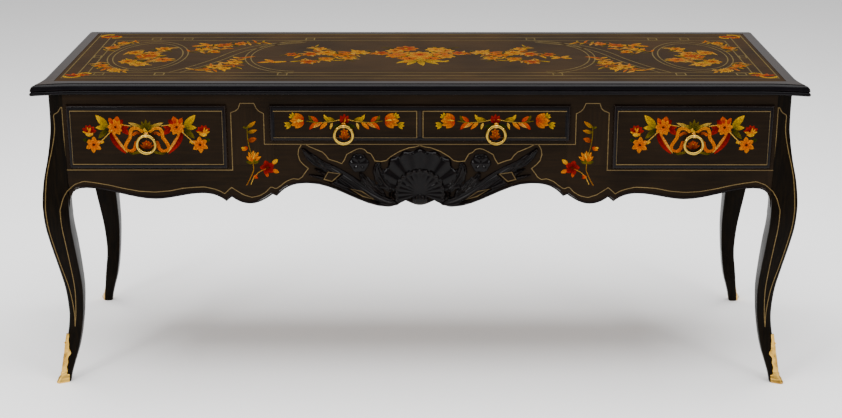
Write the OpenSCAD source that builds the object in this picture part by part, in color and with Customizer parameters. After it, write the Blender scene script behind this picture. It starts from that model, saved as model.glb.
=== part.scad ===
// Writing table with three drawers, black lacquer, inlaid lines and gilt mounts.
// Row frame: X to the right, front faces -Y, Z up, origin on the floor at the centre of the top.

/* [Top] */
// Half width of the top board, at its sight edge
top_half_w = 883; // [870:1:900]
// Front sight edge of the top, measured forward from the centre
top_front = 287; // [280:1:295]
// Back sight edge of the top, measured backward from the centre
top_back = 303; // [295:1:310]
// Height of the top surface above the floor
top_h = 760; // [750:1:775]
// Thickness of the top
top_t = 26; // [24:1:30]
// How far the edge moulding stands out from the sight edge
nose_out = 12; // [9:1:14]
// Width of the solid lipping that carries the moulding, behind the sight edge
lipping_w = 22; // [18:1:28]
// How far each front corner flares sideways
ear_side = 14; // [6:1:18]
// How far each front corner flares forward
ear_front = 16; // [6:1:18]
// Length over which a corner flares
ear_run = 85; // [60:1:110]

/* [Case] */
// Half width of the case, over the outer faces of the posts
case_half_w = 876; // [868:1:882]
// Half depth of the case, over the outer faces of the posts
case_half_d = 276; // [270:1:280]
// Side of the square post at the top of each leg
post = 34; // [32:1:40]
// Thickness of the front rails and the side and back aprons
rail_t = 20; // [18:1:24]
// Height of the top edge of the drawer openings
open_top = 698; // [694:1:702]
// Height of the bottom edge of the outer drawer openings
open_low = 558; // [552:1:562]
// Height of the bottom edge of the centre drawer opening
open_mid = 626; // [622:1:630]
// Distance from the centre to the near side of an outer drawer opening
side_open_in = 465; // [460:1:470]
// Distance from the centre to the far side of an outer drawer opening
side_open_out = 826; // [820:1:830]
// Distance from the centre to the side of the centre drawer opening
mid_open = 347; // [340:1:350]

/* [Drawers] */
// How far each drawer front laps over its opening
lap = 8; // [6:1:10]
// How far each drawer front stands proud of the case
front_proud = 9; // [7:1:11]
// Thickness of a drawer's tongue, inside its opening
tongue_t = 12; // [10:1:16]
// Radius of the rounded edge of a drawer front
thumb_r = 6; // [4:1:7]
// Clearance round a drawer inside its opening
play = 1.5; // [1:0.5:3]
// Thickness of the drawer sides and backs
board_t = 11; // [9:1:13]
// Thickness of the drawer bottoms
base_t = 6; // [5:1:8]
// Length of the drawer boxes behind their fronts
box_len = 430; // [380:5:445]
// How far a drawer pulls out
travel = 300; // [250:5:320]
// Thickness of the upright partitions beside the centre drawer
partition_t = 18; // [15:1:20]
// Width and height of the runners that carry the drawers
runner = 16; // [14:1:20]

/* [Rings] */
// Diameter of a ring pull along its centreline
ring_d = 43; // [38:1:46]
// Thickness of the ring at its thickest
ring_t = 8.5; // [6:0.5:9]
// Diameter of the eye post's shank
shank_d = 6; // [5:0.5:8]
// Diameter of the bar that the ring turns on
pin_d = 3; // [2.5:0.25:3.5]
// Distance of the ring's axis in front of the drawer front
ring_stand = 9; // [8:0.5:11]

/* [Legs] */
// How far the knee stands out from the post
knee = 28; // [22:1:32]
// How far the ankle draws in from the post
ankle = 10; // [6:1:12]
// Height of the knee
knee_z = 455; // [448:1:462]
// Height of the ankle
ankle_z = 178; // [165:1:190]
// How far the wooden toe stands out from the post
toe = 13; // [10:1:16]
// Thickness of the gilt foot mounts
sabot_t = 2.6; // [2:0.2:3.2]
// Height of the gilt foot mounts
sabot_h = 122; // [110:1:135]

/* [Hidden] */

gap = 0.2;                                  // glue gap between fitted timber faces
frame_top = top_h - top_t;                  // underside of the top
case_top = frame_top - gap;                 // top of the case timbers
nose_back = top_back + nose_out;
ear_x = top_half_w + ear_side;              // sight edge at the corner of the top
ear_y = -(top_front + ear_front);
panel_half_w = top_half_w - lipping_w;
panel_front = -(top_front - lipping_w);
panel_back = top_back - lipping_w;
post_in_x = case_half_w - post;
post_in_y = case_half_d - post;
rail_back = -case_half_d + rail_t;
ring_x_mid = 180;
ring_x_side = (side_open_in + side_open_out) / 2 + 1;
ring_z_mid = 658;
ring_z_side = 634.5;
front_face = -case_half_d - front_proud;    // face of the drawer fronts
ring_y = front_face - ring_stand;
moulding_steps = 6;
leg_steps = 34;
bead_r = 3.2;

// Height on a cubic that leaves [x0, z0] at slope m0 and reaches [x1, z1] at slope m1.
function cubic(x, s) =
    let (w = s[3] - s[0], t = (x - s[0]) / w)
    s[1] * (1 - 3 * t * t + 2 * t * t * t) + s[4] * (3 * t * t - 2 * t * t * t)
    + s[2] * w * (t - 2 * t * t + t * t * t) + s[5] * w * (t * t * t - t * t);

// Points along a run of cubics, each given as [x0, z0, m0, x1, z1, m1].
function run_points(segs, steps) =
    [for (s = segs, k = [0:steps - 1]) let (x = s[0] + (s[3] - s[0]) * k / steps) [x, cubic(x, s)]];

// A quarter turn from [x0, z0] outward and down to [x1, z1], squarer than a circle.
function haunch(x0, z0, x1, z1, steps) =
    [for (k = [0:steps]) let (a = 90 * k / steps)
        [x0 + (x1 - x0) * pow(sin(a), 0.75), z1 + (z0 - z1) * pow(cos(a), 0.75)]];

// Lower edge of the front apron, from the centre to the leg. Each notch is a pair of corners.
apron_end = [post_in_x - 1, 452];
front_segs = [
    [0, 457.5, 0, 35, 469.5, 0.45],
    [35, 469.5, -0.6, 77, 453, 0],
    [77, 453, 0, 265, 512, 0],
    [265, 512, 0, 343, 480, -1.2],
    [343, 480, 0.45, 353, 484.5, 0.45],
    [353, 484.5, -0.75, 407, 461, 0],
    [407, 461, 0, 451, 478, 0.8],
    [451, 478, -0.85, 464, 467, -0.85],
    [464, 467, 0.85, 521, 487, 0],
    [521, 487, 0, 634, 472.5, 0],
    [634, 472.5, 0, 798, 500, 0]];
side_reach = post_in_y;
side_segs = [[0, 476, 0, 150, 500, 0], [150, 500, 0, side_reach - 40, 500, 0]];
back_segs = [[0, 476, 0, 420, 496, 0], [420, 496, 0, 640, 478, 0], [640, 478, 0, post_in_x - 44, 500, 0]];
function half_edge(segs, steps, end) =
    concat(run_points(segs, steps), haunch(segs[len(segs) - 1][3], segs[len(segs) - 1][4], end[0], end[1], 6));
function both_halves(half) =
    concat([for (k = [len(half) - 1:-1:1]) [-half[k][0], half[k][1]]], half);
front_edge = half_edge(front_segs, 8, apron_end);
side_edge = half_edge(side_segs, 8, [side_reach - 1, 452]);
back_edge = half_edge(back_segs, 8, apron_end);

// Joins rings of equal length into one closed solid; the end rings are its caps.
module loft(rings) {
    n = len(rings[0]);
    m = len(rings);
    faces = concat(
        [for (i = [0:m - 2], j = [0:n - 1]) let (k = (j + 1) % n) [i * n + j, i * n + k, (i + 1) * n + k]],
        [for (i = [0:m - 2], j = [0:n - 1]) let (k = (j + 1) % n) [i * n + j, (i + 1) * n + k, (i + 1) * n + j]],
        [[for (j = [n - 1:-1:0]) j]],
        [[for (j = [0:n - 1]) (m - 1) * n + j]]);
    polyhedron(points = [for (r = rings) each r], faces = faces);
}

// Edge moulding: [out, height above the underside], from the top surface down: ovolo, quirk, bead.
function moulding_profile() = concat(
    [[0, top_t], [1.2, top_t - 1.4]],
    [for (k = [0:moulding_steps]) let (a = 90 * k / moulding_steps)
        [1.2 + (nose_out - 2.6) * sin(a), 12 + (top_t - 13.4) * cos(a)]],
    [[nose_out - 3.4, 10.6]],
    [for (k = [0:moulding_steps]) let (a = 90 - 180 * k / moulding_steps)
        [nose_out - 4.2 + 4.2 * cos(a), 5 + 4.6 * sin(a)]],
    [[nose_out - 5, 0]]);

// Sight edge along the front: x from 0 to the corner, curving forward near it.
function ease(t) = t <= 0 ? 0 : pow(t, 1.8);
function front_sight(x) = [x, -top_front - ear_front * ease((abs(x) - (ear_x - ear_run)) / ear_run)];
function side_sight(y) = [top_half_w + ear_side * ease((-y - (-ear_y - ear_run)) / ear_run), y];

// One ring of the moulding. dir is the outward direction, long enough to keep the mitre's width.
function moulding_ring(edge, inner, dir) = concat(
    [[inner[0], inner[1], frame_top], [inner[0], inner[1], top_h]],
    [for (p = moulding_profile()) [edge[0] + p[0] * dir[0], edge[1] + p[0] * dir[1], frame_top + p[1]]]);

flare_stations = [for (k = [0:8]) ear_run * k / 8];
module edge_moulding_front() color([0.05, 0.045, 0.045]) {
    half = concat([0], [for (f = flare_stations) ear_x - ear_run + f]);
    xs = concat([for (k = [len(half) - 1:-1:1]) -half[k]], half);
    loft([for (x = xs) let (m = abs(x) / ear_x)
        moulding_ring(front_sight(x),
            [sign(x) * min(abs(x), panel_half_w), panel_front],
            [sign(x) * (abs(x) > panel_half_w ? (abs(x) - panel_half_w) / (ear_x - panel_half_w) : 0), -1])]);
}
module side_moulding() {
    ys = concat([nose_back - nose_out], [for (f = flare_stations) ear_y + ear_run - f]);
    loft([for (y = ys) let (
            ahead = y < panel_front ? (panel_front - y) / (panel_front - ear_y) : 0,
            behind = y > panel_back ? (y - panel_back) / (top_back - panel_back) : 0)
        moulding_ring(side_sight(y) + [gap * ahead / 2, 0],
            [panel_half_w + gap, min(max(y, panel_front + gap), panel_back)],
            [1, behind - ahead])]);
}
module edge_moulding_right() color([0.05, 0.045, 0.045]) side_moulding();
module edge_moulding_left() color([0.05, 0.045, 0.045]) mirror([1, 0, 0]) side_moulding();
module edge_moulding_back() color([0.05, 0.045, 0.045])
    loft([for (x = [top_half_w - gap, -top_half_w + gap])
        moulding_ring([x, top_back], [sign(x) * panel_half_w, panel_back + gap], [sign(x), 1])]);

module top_panel() color([0.07, 0.05, 0.04])
    translate([-panel_half_w, panel_front + gap, frame_top])
        cube([2 * panel_half_w, panel_back - panel_front - gap, top_t]);

// A board in the XZ plane with its face at y and its thickness behind it.
module upright(points, y, t) translate([0, y + t, 0]) rotate([90, 0, 0]) linear_extrude(t) polygon(points);

module front_top_rail() color([0.06, 0.05, 0.04])
    translate([-post_in_x + gap, -case_half_d, open_top])
        cube([2 * (post_in_x - gap), rail_t, case_top - open_top]);
module front_apron() color([0.06, 0.05, 0.04])
        upright(concat(
            [for (p = both_halves(front_edge)) [min(max(p[0], -post_in_x + gap), post_in_x - gap), p[1]]],
            [[post_in_x - gap, 452], [post_in_x - gap, open_top - gap], [side_open_out, open_top - gap],
             [side_open_out, open_low], [mid_open, open_low], [mid_open, open_mid], [-mid_open, open_mid],
             [-mid_open, open_low], [-side_open_out, open_low],
             [-side_open_out, open_top - gap], [-post_in_x + gap, open_top - gap]]), -case_half_d, rail_t);
module front_stile() color([0.06, 0.05, 0.04])
    translate([mid_open + gap, -case_half_d, open_low + gap])
        cube([side_open_in - mid_open - gap, rail_t, open_top - open_low - 2 * gap]);
module front_stile_right() front_stile();
module front_stile_left() mirror([1, 0, 0]) front_stile();

// Bead along the lower edge of the front apron, standing proud of its face.
module apron_beading() color([0.05, 0.04, 0.04]) {
    line = [for (p = both_halves(front_edge)) if (abs(p[0]) < post_in_x - 10) p];
    n = len(line);
    loft([for (i = [0:n - 1])
        let (a = line[max(i - 1, 0)], b = line[min(i + 1, n - 1)], d = (b - a) / norm(b - a), up = [-d[1], d[0]])
        [for (q = [[0.6, -gap], [0.6, -1.4], [2.2, -bead_r + 0.6], [4, -bead_r], [5.6, -bead_r + 0.8], [6.6, -gap]])
            [line[i][0] + up[0] * q[0], -case_half_d + q[1], line[i][1] + up[1] * q[0]]]]);
}

// Height of the carving above the apron's face, over [x, z]: a fluted shell, two rosettes,
// a rolled scroll on each side of the shell and a long leaf sweeping outward.
shell_hub = [0, 484];
shell_r = 62;
rosette = [147, 565];
rosette_r = 29;
scroll = [57, 484];
carve_reach = 292;
function bump(d, r) = d >= r ? 0 : pow(cos(90 * d / r), 0.6);
function shell_relief(x, z) =
    let (v = [x, z] - shell_hub, r = norm(v), a = atan2(v[0], v[1]))
    r < shell_r ? 6 + 7 * sin(90 * r / shell_r) + 1.6 * cos(a * 18)
    : r < 118 && z > 486 ? 9 - 5 * (r - shell_r) / 56 + 1.5 * cos(a * 14) : 0;
function rosette_relief(x, z) =
    let (v = [abs(x), z] - rosette, r = norm(v), a = atan2(v[0], v[1]))
    r < rosette_r ? 3 + 6 * bump(r, rosette_r) + 1.5 * cos(a * 6) : 0;
function scroll_relief(x, z) = let (r = norm([abs(x), z] - scroll)) r < 17 ? 5 + 7 * bump(r, 17) : 0;
function leaf_relief(x) = 4 + 4 * sin(180 * min(1, (carve_reach - abs(x)) / 200)) + 1.4 * cos(abs(x) * 6);
function relief(x, z) =
    max(2.2, max(shell_relief(x, z), max(rosette_relief(x, z), max(scroll_relief(x, z), leaf_relief(x)))));

// Upper outline of the carving over x: leaf tip, rosette and shell crest, and the lower outline.
crest_segs = [[0, 604, 0, 78, 572, -0.9], [78, 572, 0, 112, 570, 0], [112, 570, 1.4, 147, 597, 0],
    [147, 597, 0, 186, 560, -1.4], [186, 560, 0.35, 225, 577, 0.6], [225, 577, 0.6, 286, 605, 0.4]];
tail_segs = [[0, 466, 0, 240, 518, 0.2], [240, 518, 0.2, 266, 530, 0.9], [266, 530, 0.9, 292, 596, 1.5]];
function on_run(x, segs) = let (hit = [for (s = segs) if (x >= s[0] && x <= s[3]) s]) cubic(x, hit[0]);
function front_low(x) = on_run(x, front_segs);
module shell_carving() color([0.05, 0.04, 0.04]) {
    cols = 88;
    rows = 12;
    reach = 285;
    loft([for (i = [0:cols])
        let (x = -reach + 2 * reach * i / cols, ax = min(abs(x), 285.9),
            top = on_run(ax, crest_segs) - 1,
            low = min(top - 4, max(front_low(ax) + 9, ax > 240 ? on_run(ax, tail_segs) : 0)))
        concat([[x, -case_half_d - gap, low], [x, -case_half_d - gap, top]],
            [for (j = [rows:-1:0]) let (z = low + (top - low) * j / rows)
                [x, -case_half_d - 1.2 - (j == 0 || j == rows ? 0 : relief(x, z)), z]])]);
}

module side_apron() color([0.06, 0.05, 0.04])
    translate([case_half_w, 0, 0]) rotate([0, 0, 90])
        upright(concat([for (p = both_halves(side_edge)) [min(max(p[0], -post_in_y + gap), post_in_y - gap), p[1]]],
            [[post_in_y - gap, case_top], [-post_in_y + gap, case_top]]), 0, rail_t);
module side_apron_right() side_apron();
module side_apron_left() mirror([1, 0, 0]) side_apron();
module back_apron() color([0.06, 0.05, 0.04])
    upright(concat([for (p = both_halves(back_edge)) [min(max(p[0], -post_in_x + gap), post_in_x - gap), p[1]]],
        [[post_in_x - gap, case_top], [-post_in_x + gap, case_top]]), case_half_d - rail_t, rail_t);

// Leg curve: [height, outward offset of the outer corner, inward face measured from the post's outer face].
leg_keys = [
    [0, toe, -8], [23, 11, -13], [47, 7, -20], [79, 2, -30], [111, -3, -37], [143, -8, -42],
    [ankle_z, -ankle, -46], [238, -6, -49], [300, 5, -46], [362, 17, -41], [410, 25, -36],
    [knee_z, knee, -post], [483, knee - 1, -post], [528, 21.5, -post], [573, 12, -post], [610, 5.5, -post],
    [650, 0.8, -post], [frame_top, 0, -post]];
function key_at(z, i = 0) = z <= leg_keys[i + 1][0] || i + 2 >= len(leg_keys) ? i : key_at(z, i + 1);
function leg_value(z, c) =
    let (i = key_at(z), last = len(leg_keys) - 1,
        p0 = leg_keys[max(i - 1, 0)], p1 = leg_keys[i], p2 = leg_keys[i + 1], p3 = leg_keys[min(i + 2, last)],
        w = p2[0] - p1[0], t = (z - p1[0]) / w,
        m1 = (p2[c] - p0[c]) / max(p2[0] - p0[0], 1), m2 = (p3[c] - p1[c]) / max(p3[0] - p1[0], 1))
    cubic(z, [p1[0], p1[c], i == 0 ? (p2[c] - p1[c]) / w : m1, p2[0], p2[c], m2]);
function blend(z) = z > 560 ? 0 : z < 320 ? 1 : pow(cos(90 * (z - 320) / 240), 2);
function corner_arc(a, c, b, r) =
    let (p = c + (a - c) * min(0.45, r / norm(a - c)), q = c + (b - c) * min(0.45, r / norm(b - c)))
    [for (t = [0, 1 / 3, 2 / 3, 1]) p * (1 - t) * (1 - t) + c * 2 * t * (1 - t) + q * t * t];
// Section of the leg at a height, from the post's outer corner: outward is positive.
function leg_corners(z) =
    let (e = leg_value(z, 1), n = min(leg_value(z, 2), -post * (z > 440 ? 1 : 0)), f = e * blend(z))
    [[e, e], [n, f], [n, n], [f, n]];
function leg_section(z) =
    let (c = leg_corners(z), soft = z > 500 ? 0.3 : z > 430 ? 3 : 6)
    concat(corner_arc(c[3], c[0], c[1], 11), corner_arc(c[0], c[1], c[2], soft),
        corner_arc(c[1], c[2], c[3], soft), corner_arc(c[2], c[3], c[0], soft));
leg_heights = [for (k = [0:leg_steps]) case_top * k / leg_steps];
module leg() color([0.05, 0.04, 0.035])
    translate([case_half_w, -case_half_d, 0])
        loft([for (z = leg_heights) [for (p = leg_section(z)) [p[0], -p[1], z]]]);
module leg_front_right() leg();
module leg_front_left() mirror([1, 0, 0]) leg();
module leg_back_right() mirror([0, 1, 0]) leg();
module leg_back_left() mirror([1, 0, 0]) mirror([0, 1, 0]) leg();

// Gilt foot mount: a leaf that wraps the outer corner of the foot and ends in a scrolled toe.
function leaf_arm(z) =
    let (t = z / sabot_h) t < 0.16 ? 19 : 4 + 9 * pow(1 - t, 0.7) + 5.5 * exp(-pow((t - 0.62) / 0.09, 2));
function sabot_thick(z) = sabot_t + 9 * exp(-pow((z - 3) / 13, 2));
function sabot_section(z) =
    let (e = leg_value(z, 1) + gap + 0.15, arm = leaf_arm(z), t = sabot_thick(z), r = min(9, arm * 0.6))
    concat([[e - arm, e]], [for (k = [0:4]) let (a = 90 * k / 4) [e - r + r * sin(a), e - r + r * cos(a)]],
        [[e, e - arm]], [[e + sabot_t * 0.7, e - arm]],
        [for (k = [4:-1:0]) let (a = 90 * k / 4, q = r * 0.8) [e + t - q + q * sin(a), e + t - q + q * cos(a)]],
        [[e - arm, e + sabot_t * 0.7]]);
sabot_heights = concat([for (k = [0:11]) 4 * k], [for (k = [1:14]) 44 + (sabot_h - 44) * k / 14]);
module sabot() color([0.80, 0.60, 0.20])
    translate([case_half_w, -case_half_d, 0])
        loft([for (z = sabot_heights) [for (p = sabot_section(z)) [p[0], -p[1], z]]]);
module sabot_front_right() sabot();
module sabot_front_left() mirror([1, 0, 0]) sabot();
module sabot_back_right() mirror([0, 1, 0]) sabot();
module sabot_back_left() mirror([1, 0, 0]) mirror([0, 1, 0]) sabot();
module at_corners() for (sx = [0, 1], sy = [0, 1]) mirror([sx, 0, 0]) mirror([0, sy, 0]) children();
screw_z = 100;
module sabot_screws() color([0.75, 0.55, 0.2])
    at_corners() translate([case_half_w, -case_half_d, screw_z])
        rotate([0, 0, 45])
            translate([0, -(leg_value(screw_z, 1) + sabot_t) * sqrt(2) + 0.1, 0]) rotate([90, 0, 0])
                cylinder(h = 1.4, d = 4.5, $fn = 24);

// Partitions, runners and kickers inside the case.
inner_back = case_half_d - rail_t;
partition_x = mid_open + 20;
module partition() color([0.45, 0.33, 0.2])
    translate([partition_x, rail_back + gap, open_low - runner])
        cube([partition_t, inner_back - rail_back - 2 * gap, frame_top - open_low + runner - gap]);
module partition_right() partition();
module partition_left() mirror([1, 0, 0]) partition();
sit = 0.3;                                  // drawers ride this far above their runners
runner_len = inner_back - rail_back - 2 * gap;
module rail_pair(x0, x1, z) for (x = [x0, x1 - runner])
    translate([x, rail_back + gap, z - runner]) cube([runner, runner_len, runner]);
module side_runner_pair() {
    rail_pair(side_open_in, side_open_out, open_low);
    // Bearer boards that carry the runners from the partition and from the side apron.
    for (y = [-220, 196])
        translate([partition_x + partition_t + gap, y, open_low - 2 * runner - gap])
            cube([case_half_w - rail_t - partition_x - partition_t - 2 * gap, 24, runner]);
}
module runners_right() color([0.5, 0.38, 0.24]) side_runner_pair();
module runners_left() color([0.5, 0.38, 0.24]) mirror([1, 0, 0]) side_runner_pair();
module runners_centre() color([0.5, 0.38, 0.24]) for (s = [0, 1]) mirror([s, 0, 0])
    translate([mid_open - runner, rail_back + gap, open_mid - runner])
        cube([partition_x - mid_open + runner - gap, runner_len, runner]);
module kickers() color([0.5, 0.38, 0.24])
    for (s = [0, 1]) mirror([s, 0, 0]) {
        translate([mid_open - runner, rail_back + gap, open_top])
            cube([partition_x - mid_open + runner - gap, runner_len, runner]);
        translate([partition_x + partition_t + gap, rail_back + gap, open_top])
            cube([side_open_in + runner - partition_x - partition_t, runner_len, runner]);
        translate([side_open_out - runner, -post_in_y + gap, open_top])
            cube([case_half_w - rail_t - side_open_out + runner - gap, 2 * (post_in_y - gap), runner]);
    }
block = 26;
module corner_blocks() color([0.5, 0.38, 0.24])
    at_corners() translate([post_in_x - block - gap, -case_half_d + rail_t + gap, frame_top - 18])
        cube([block, block, 17.8]);
screw_points = [for (x = [-1, 1], y = [-200, 200]) [x, y]];
module top_screws() color([0.6, 0.6, 0.62])
    for (p = screw_points, x = [partition_x + partition_t + 45, (side_open_out + case_half_w - rail_t) / 2])
        translate([p[0] * x, p[1], open_top - gap - 1.6]) cylinder(h = 1.6, d = 8, $fn = 32);

// A drawer, centred on x = 0, for an opening of half width hw between heights low and high.
module thumb_board(hw, low, high) {
    // Rounded edge: the board steps in as it comes forward.
    for (s = [0:3]) let (a = 90 * s / 3, inset = thumb_r * (1 - sin(90 - a)), out = thumb_r * sin(a))
        translate([-hw - lap + inset, front_face + thumb_r - out, low - lap + inset])
            cube([2 * (hw + lap - inset), front_proud - gap - thumb_r + out, high - low + 2 * (lap - inset)]);
}
module drawer_front(hw, low, high, bars) color([0.06, 0.05, 0.04]) difference() {
    union() {
        thumb_board(hw, low, high);
        translate([-hw + play, -case_half_d - gap, low + sit])
            cube([2 * (hw - play), tongue_t + gap, high - low - play - sit]);
    }
    for (h = bars) translate([h[0], front_face - 1, h[1]]) rotate([-90, 0, 0])
        cylinder(h = front_proud + tongue_t + 3, d = shank_d + 0.1, $fn = 32);
}
box_front = -case_half_d + tongue_t;
module drawer_side(hw, low, high) color([0.55, 0.42, 0.28])
    difference() {
        translate([hw - play - board_t, box_front + gap, low + sit])
            cube([board_t, box_len, high - low - play - 5]);
        translate([hw - play - board_t - 1, box_front, low + sit + base_t])
            cube([5, box_len + 2, base_t + 2 * gap]);
    }
module drawer_back(hw, low, high) color([0.55, 0.42, 0.28])
    translate([-hw + play + board_t + gap, box_front + box_len - board_t, low + sit + 2 * base_t + 2 * gap])
        cube([2 * (hw - play - board_t - gap), board_t, high - low - play - 2 * base_t - 11]);
module drawer_bottom(hw, low) color([0.6, 0.47, 0.32])
    translate([-hw + play + board_t - 3.6, box_front + gap, low + sit + base_t + gap])
        cube([2 * (hw - play - board_t + 3.6), box_len - gap, base_t]);

side_hw = (side_open_out - side_open_in) / 2;
side_cx = (side_open_out + side_open_in) / 2;
mid_bars = [[-ring_x_mid, ring_z_mid], [ring_x_mid, ring_z_mid]];
side_bars = [[ring_x_side - side_cx, ring_z_side]];
side_bars_left = [[side_cx - ring_x_side, ring_z_side]];
module drawer_piece(kind, hw, low, bars) {
    if (kind == "front") drawer_front(hw, low, open_top, bars);
    if (kind == "side_left") mirror([1, 0, 0]) drawer_side(hw, low, open_top);
    if (kind == "side_right") drawer_side(hw, low, open_top);
    if (kind == "back") drawer_back(hw, low, open_top);
    if (kind == "bottom") drawer_bottom(hw, low);
}
module drawer_left(kind) translate([-side_cx, 0, 0]) drawer_piece(kind, side_hw, open_low, side_bars_left);
module drawer_centre(kind) drawer_piece(kind, mid_open, open_mid, mid_bars);
module drawer_right(kind) translate([side_cx, 0, 0]) drawer_piece(kind, side_hw, open_low, side_bars);

// Ring pulls: a ring, thicker at the bottom, hung on a short bar through the eye of a threaded post.
at_left = [-ring_x_side, ring_z_side];
at_centre_left = [-ring_x_mid, ring_z_mid];
at_centre_right = [ring_x_mid, ring_z_mid];
at_right = [ring_x_side, ring_z_side];
eye_w = 5;
nut_h = 3.2;
module ring_at(p) color([0.85, 0.68, 0.3]) union() {
    translate([p[0], ring_y, p[1] - ring_d / 2]) rotate([90, 0, 0]) difference() {
        rotate_extrude($fn = 96) translate([ring_d / 2, 0]) circle(d = ring_t * 0.86, $fn = 24);
        translate([0, ring_d / 2, 0]) cube([eye_w + 0.8, ring_t + 6, ring_t + 2], center = true);
    }
    translate([p[0] - eye_w / 2 - 1.6, ring_y, p[1]])
        rotate([0, 90, 0]) cylinder(h = eye_w + 3.2, d = pin_d, $fn = 24);
}
module eye_post_at(p) color([0.82, 0.62, 0.24]) translate([p[0], 0, p[1]]) difference() {
    union() {
        translate([0, ring_y, 0]) rotate([-90, 0, 0])
            cylinder(h = box_front + nut_h - ring_y, d = shank_d - 0.1, $fn = 32);
        translate([0, ring_y, 0]) rotate([0, 90, 0]) cylinder(h = eye_w, d = 8, center = true, $fn = 32);
        translate([0, front_face - 2.2, 0]) rotate([-90, 0, 0]) cylinder(h = 2, d = 13, $fn = 40);
        translate([0, box_front + gap, 0]) rotate([-90, 0, 0]) cylinder(h = nut_h - gap, d = 11, $fn = 32);
    }
    translate([0, ring_y, 0]) rotate([0, 90, 0]) cylinder(h = eye_w + 2, d = pin_d + 0.1, center = true, $fn = 24);
    // Flats that keep the post between the ends of the ring.
    for (s = [-1, 1]) translate([s * (eye_w / 2 + 5), ring_y, 0]) cube([10, 8.4, 9], center = true);
}

module drawer_left_front() drawer_left("front");
module drawer_left_side_left() drawer_left("side_left");
module drawer_left_side_right() drawer_left("side_right");
module drawer_left_back() drawer_left("back");
module drawer_left_bottom() drawer_left("bottom");
module drawer_centre_front() drawer_centre("front");
module drawer_centre_side_left() drawer_centre("side_left");
module drawer_centre_side_right() drawer_centre("side_right");
module drawer_centre_back() drawer_centre("back");
module drawer_centre_bottom() drawer_centre("bottom");
module drawer_right_front() drawer_right("front");
module drawer_right_side_left() drawer_right("side_left");
module drawer_right_side_right() drawer_right("side_right");
module drawer_right_back() drawer_right("back");
module drawer_right_bottom() drawer_right("bottom");
module ring_left() ring_at(at_left);
module eye_post_left() eye_post_at(at_left);
module ring_centre_left() ring_at(at_centre_left);
module eye_post_centre_left() eye_post_at(at_centre_left);
module ring_centre_right() ring_at(at_centre_right);
module eye_post_centre_right() eye_post_at(at_centre_right);
module ring_right() ring_at(at_right);
module eye_post_right() eye_post_at(at_right);

top_panel();
edge_moulding_front();
edge_moulding_left();
edge_moulding_right();
edge_moulding_back();
front_top_rail();
front_apron();
front_stile_left();
front_stile_right();
apron_beading();
shell_carving();
side_apron_left();
side_apron_right();
back_apron();
leg_front_left();
leg_front_right();
leg_back_left();
leg_back_right();
sabot_front_left();
sabot_front_right();
sabot_back_left();
sabot_back_right();
sabot_screws();
partition_left();
partition_right();
runners_left();
runners_centre();
runners_right();
kickers();
corner_blocks();
top_screws();
drawer_left_front();
drawer_left_side_left();
drawer_left_side_right();
drawer_left_back();
drawer_left_bottom();
drawer_centre_front();
drawer_centre_side_left();
drawer_centre_side_right();
drawer_centre_back();
drawer_centre_bottom();
drawer_right_front();
drawer_right_side_left();
drawer_right_side_right();
drawer_right_back();
drawer_right_bottom();
ring_left();
eye_post_left();
ring_centre_left();
eye_post_centre_left();
ring_centre_right();
eye_post_centre_right();
ring_right();
eye_post_right();
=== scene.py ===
import bpy
import numpy as np
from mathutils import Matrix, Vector


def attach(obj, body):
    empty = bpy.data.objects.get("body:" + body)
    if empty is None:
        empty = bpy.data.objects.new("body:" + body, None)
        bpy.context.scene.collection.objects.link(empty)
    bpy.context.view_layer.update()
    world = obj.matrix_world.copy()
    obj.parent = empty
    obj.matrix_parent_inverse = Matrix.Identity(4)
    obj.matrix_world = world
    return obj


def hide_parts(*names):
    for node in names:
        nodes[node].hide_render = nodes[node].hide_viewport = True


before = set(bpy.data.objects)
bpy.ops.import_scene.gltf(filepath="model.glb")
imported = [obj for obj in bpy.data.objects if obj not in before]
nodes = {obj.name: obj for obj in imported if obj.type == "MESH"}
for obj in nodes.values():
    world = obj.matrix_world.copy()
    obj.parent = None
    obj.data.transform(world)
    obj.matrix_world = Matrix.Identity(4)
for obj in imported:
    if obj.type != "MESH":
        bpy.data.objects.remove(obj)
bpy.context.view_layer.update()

# %% [markdown]
# A bureau plat is a wide, shallow writing table with a frieze of drawers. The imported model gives
# every timber its place. Here each visible surface gets its finish, and the shaped pieces (legs,
# edge mouldings, drawer fronts, carving, foot mounts) are made again as smooth surfaces. All the
# lengths in this file are millimetres in the row frame, and turn into metres as a mesh is made.

# %% Sizes shared by several pieces
CASE_W, CASE_D, POST = 876.0, 276.0, 34.0     # outer faces of the posts, and a post's side
TOP_H, TOP_T, BOARD_H = 760.0, 26.0, 759.2    # the lipping's top, its thickness, and the board's top
SIGHT_W, SIGHT_F, SIGHT_B = 883.0, 287.0, 303.0
LIPPING, NOSE = 22.0, 12.0
EAR_X, EAR_Y, EAR_RUN = 14.0, 16.0, 85.0
FIELD_Y = -284.6                              # field of the drawer fronts
FACE_Y = -276.0                               # face of the rails and the apron

# %% [markdown]
# One helper turns whole arrays of points and faces into a mesh. The surfaces are grids in two
# parameters, so their faces come from index arithmetic and not from a loop over the points.

# %% Mesh helpers
def grid_faces(m, n, wrap=False, start=0):
    """Quads of an m by n grid of points; wrap joins the last column to the first."""
    i, j = np.meshgrid(np.arange(m - 1), np.arange(n if wrap else n - 1), indexing="ij")
    k = (j + 1) % n
    return start + np.stack([i * n + j, i * n + k, (i + 1) * n + k, (i + 1) * n + j], -1).reshape(-1, 4)


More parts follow.
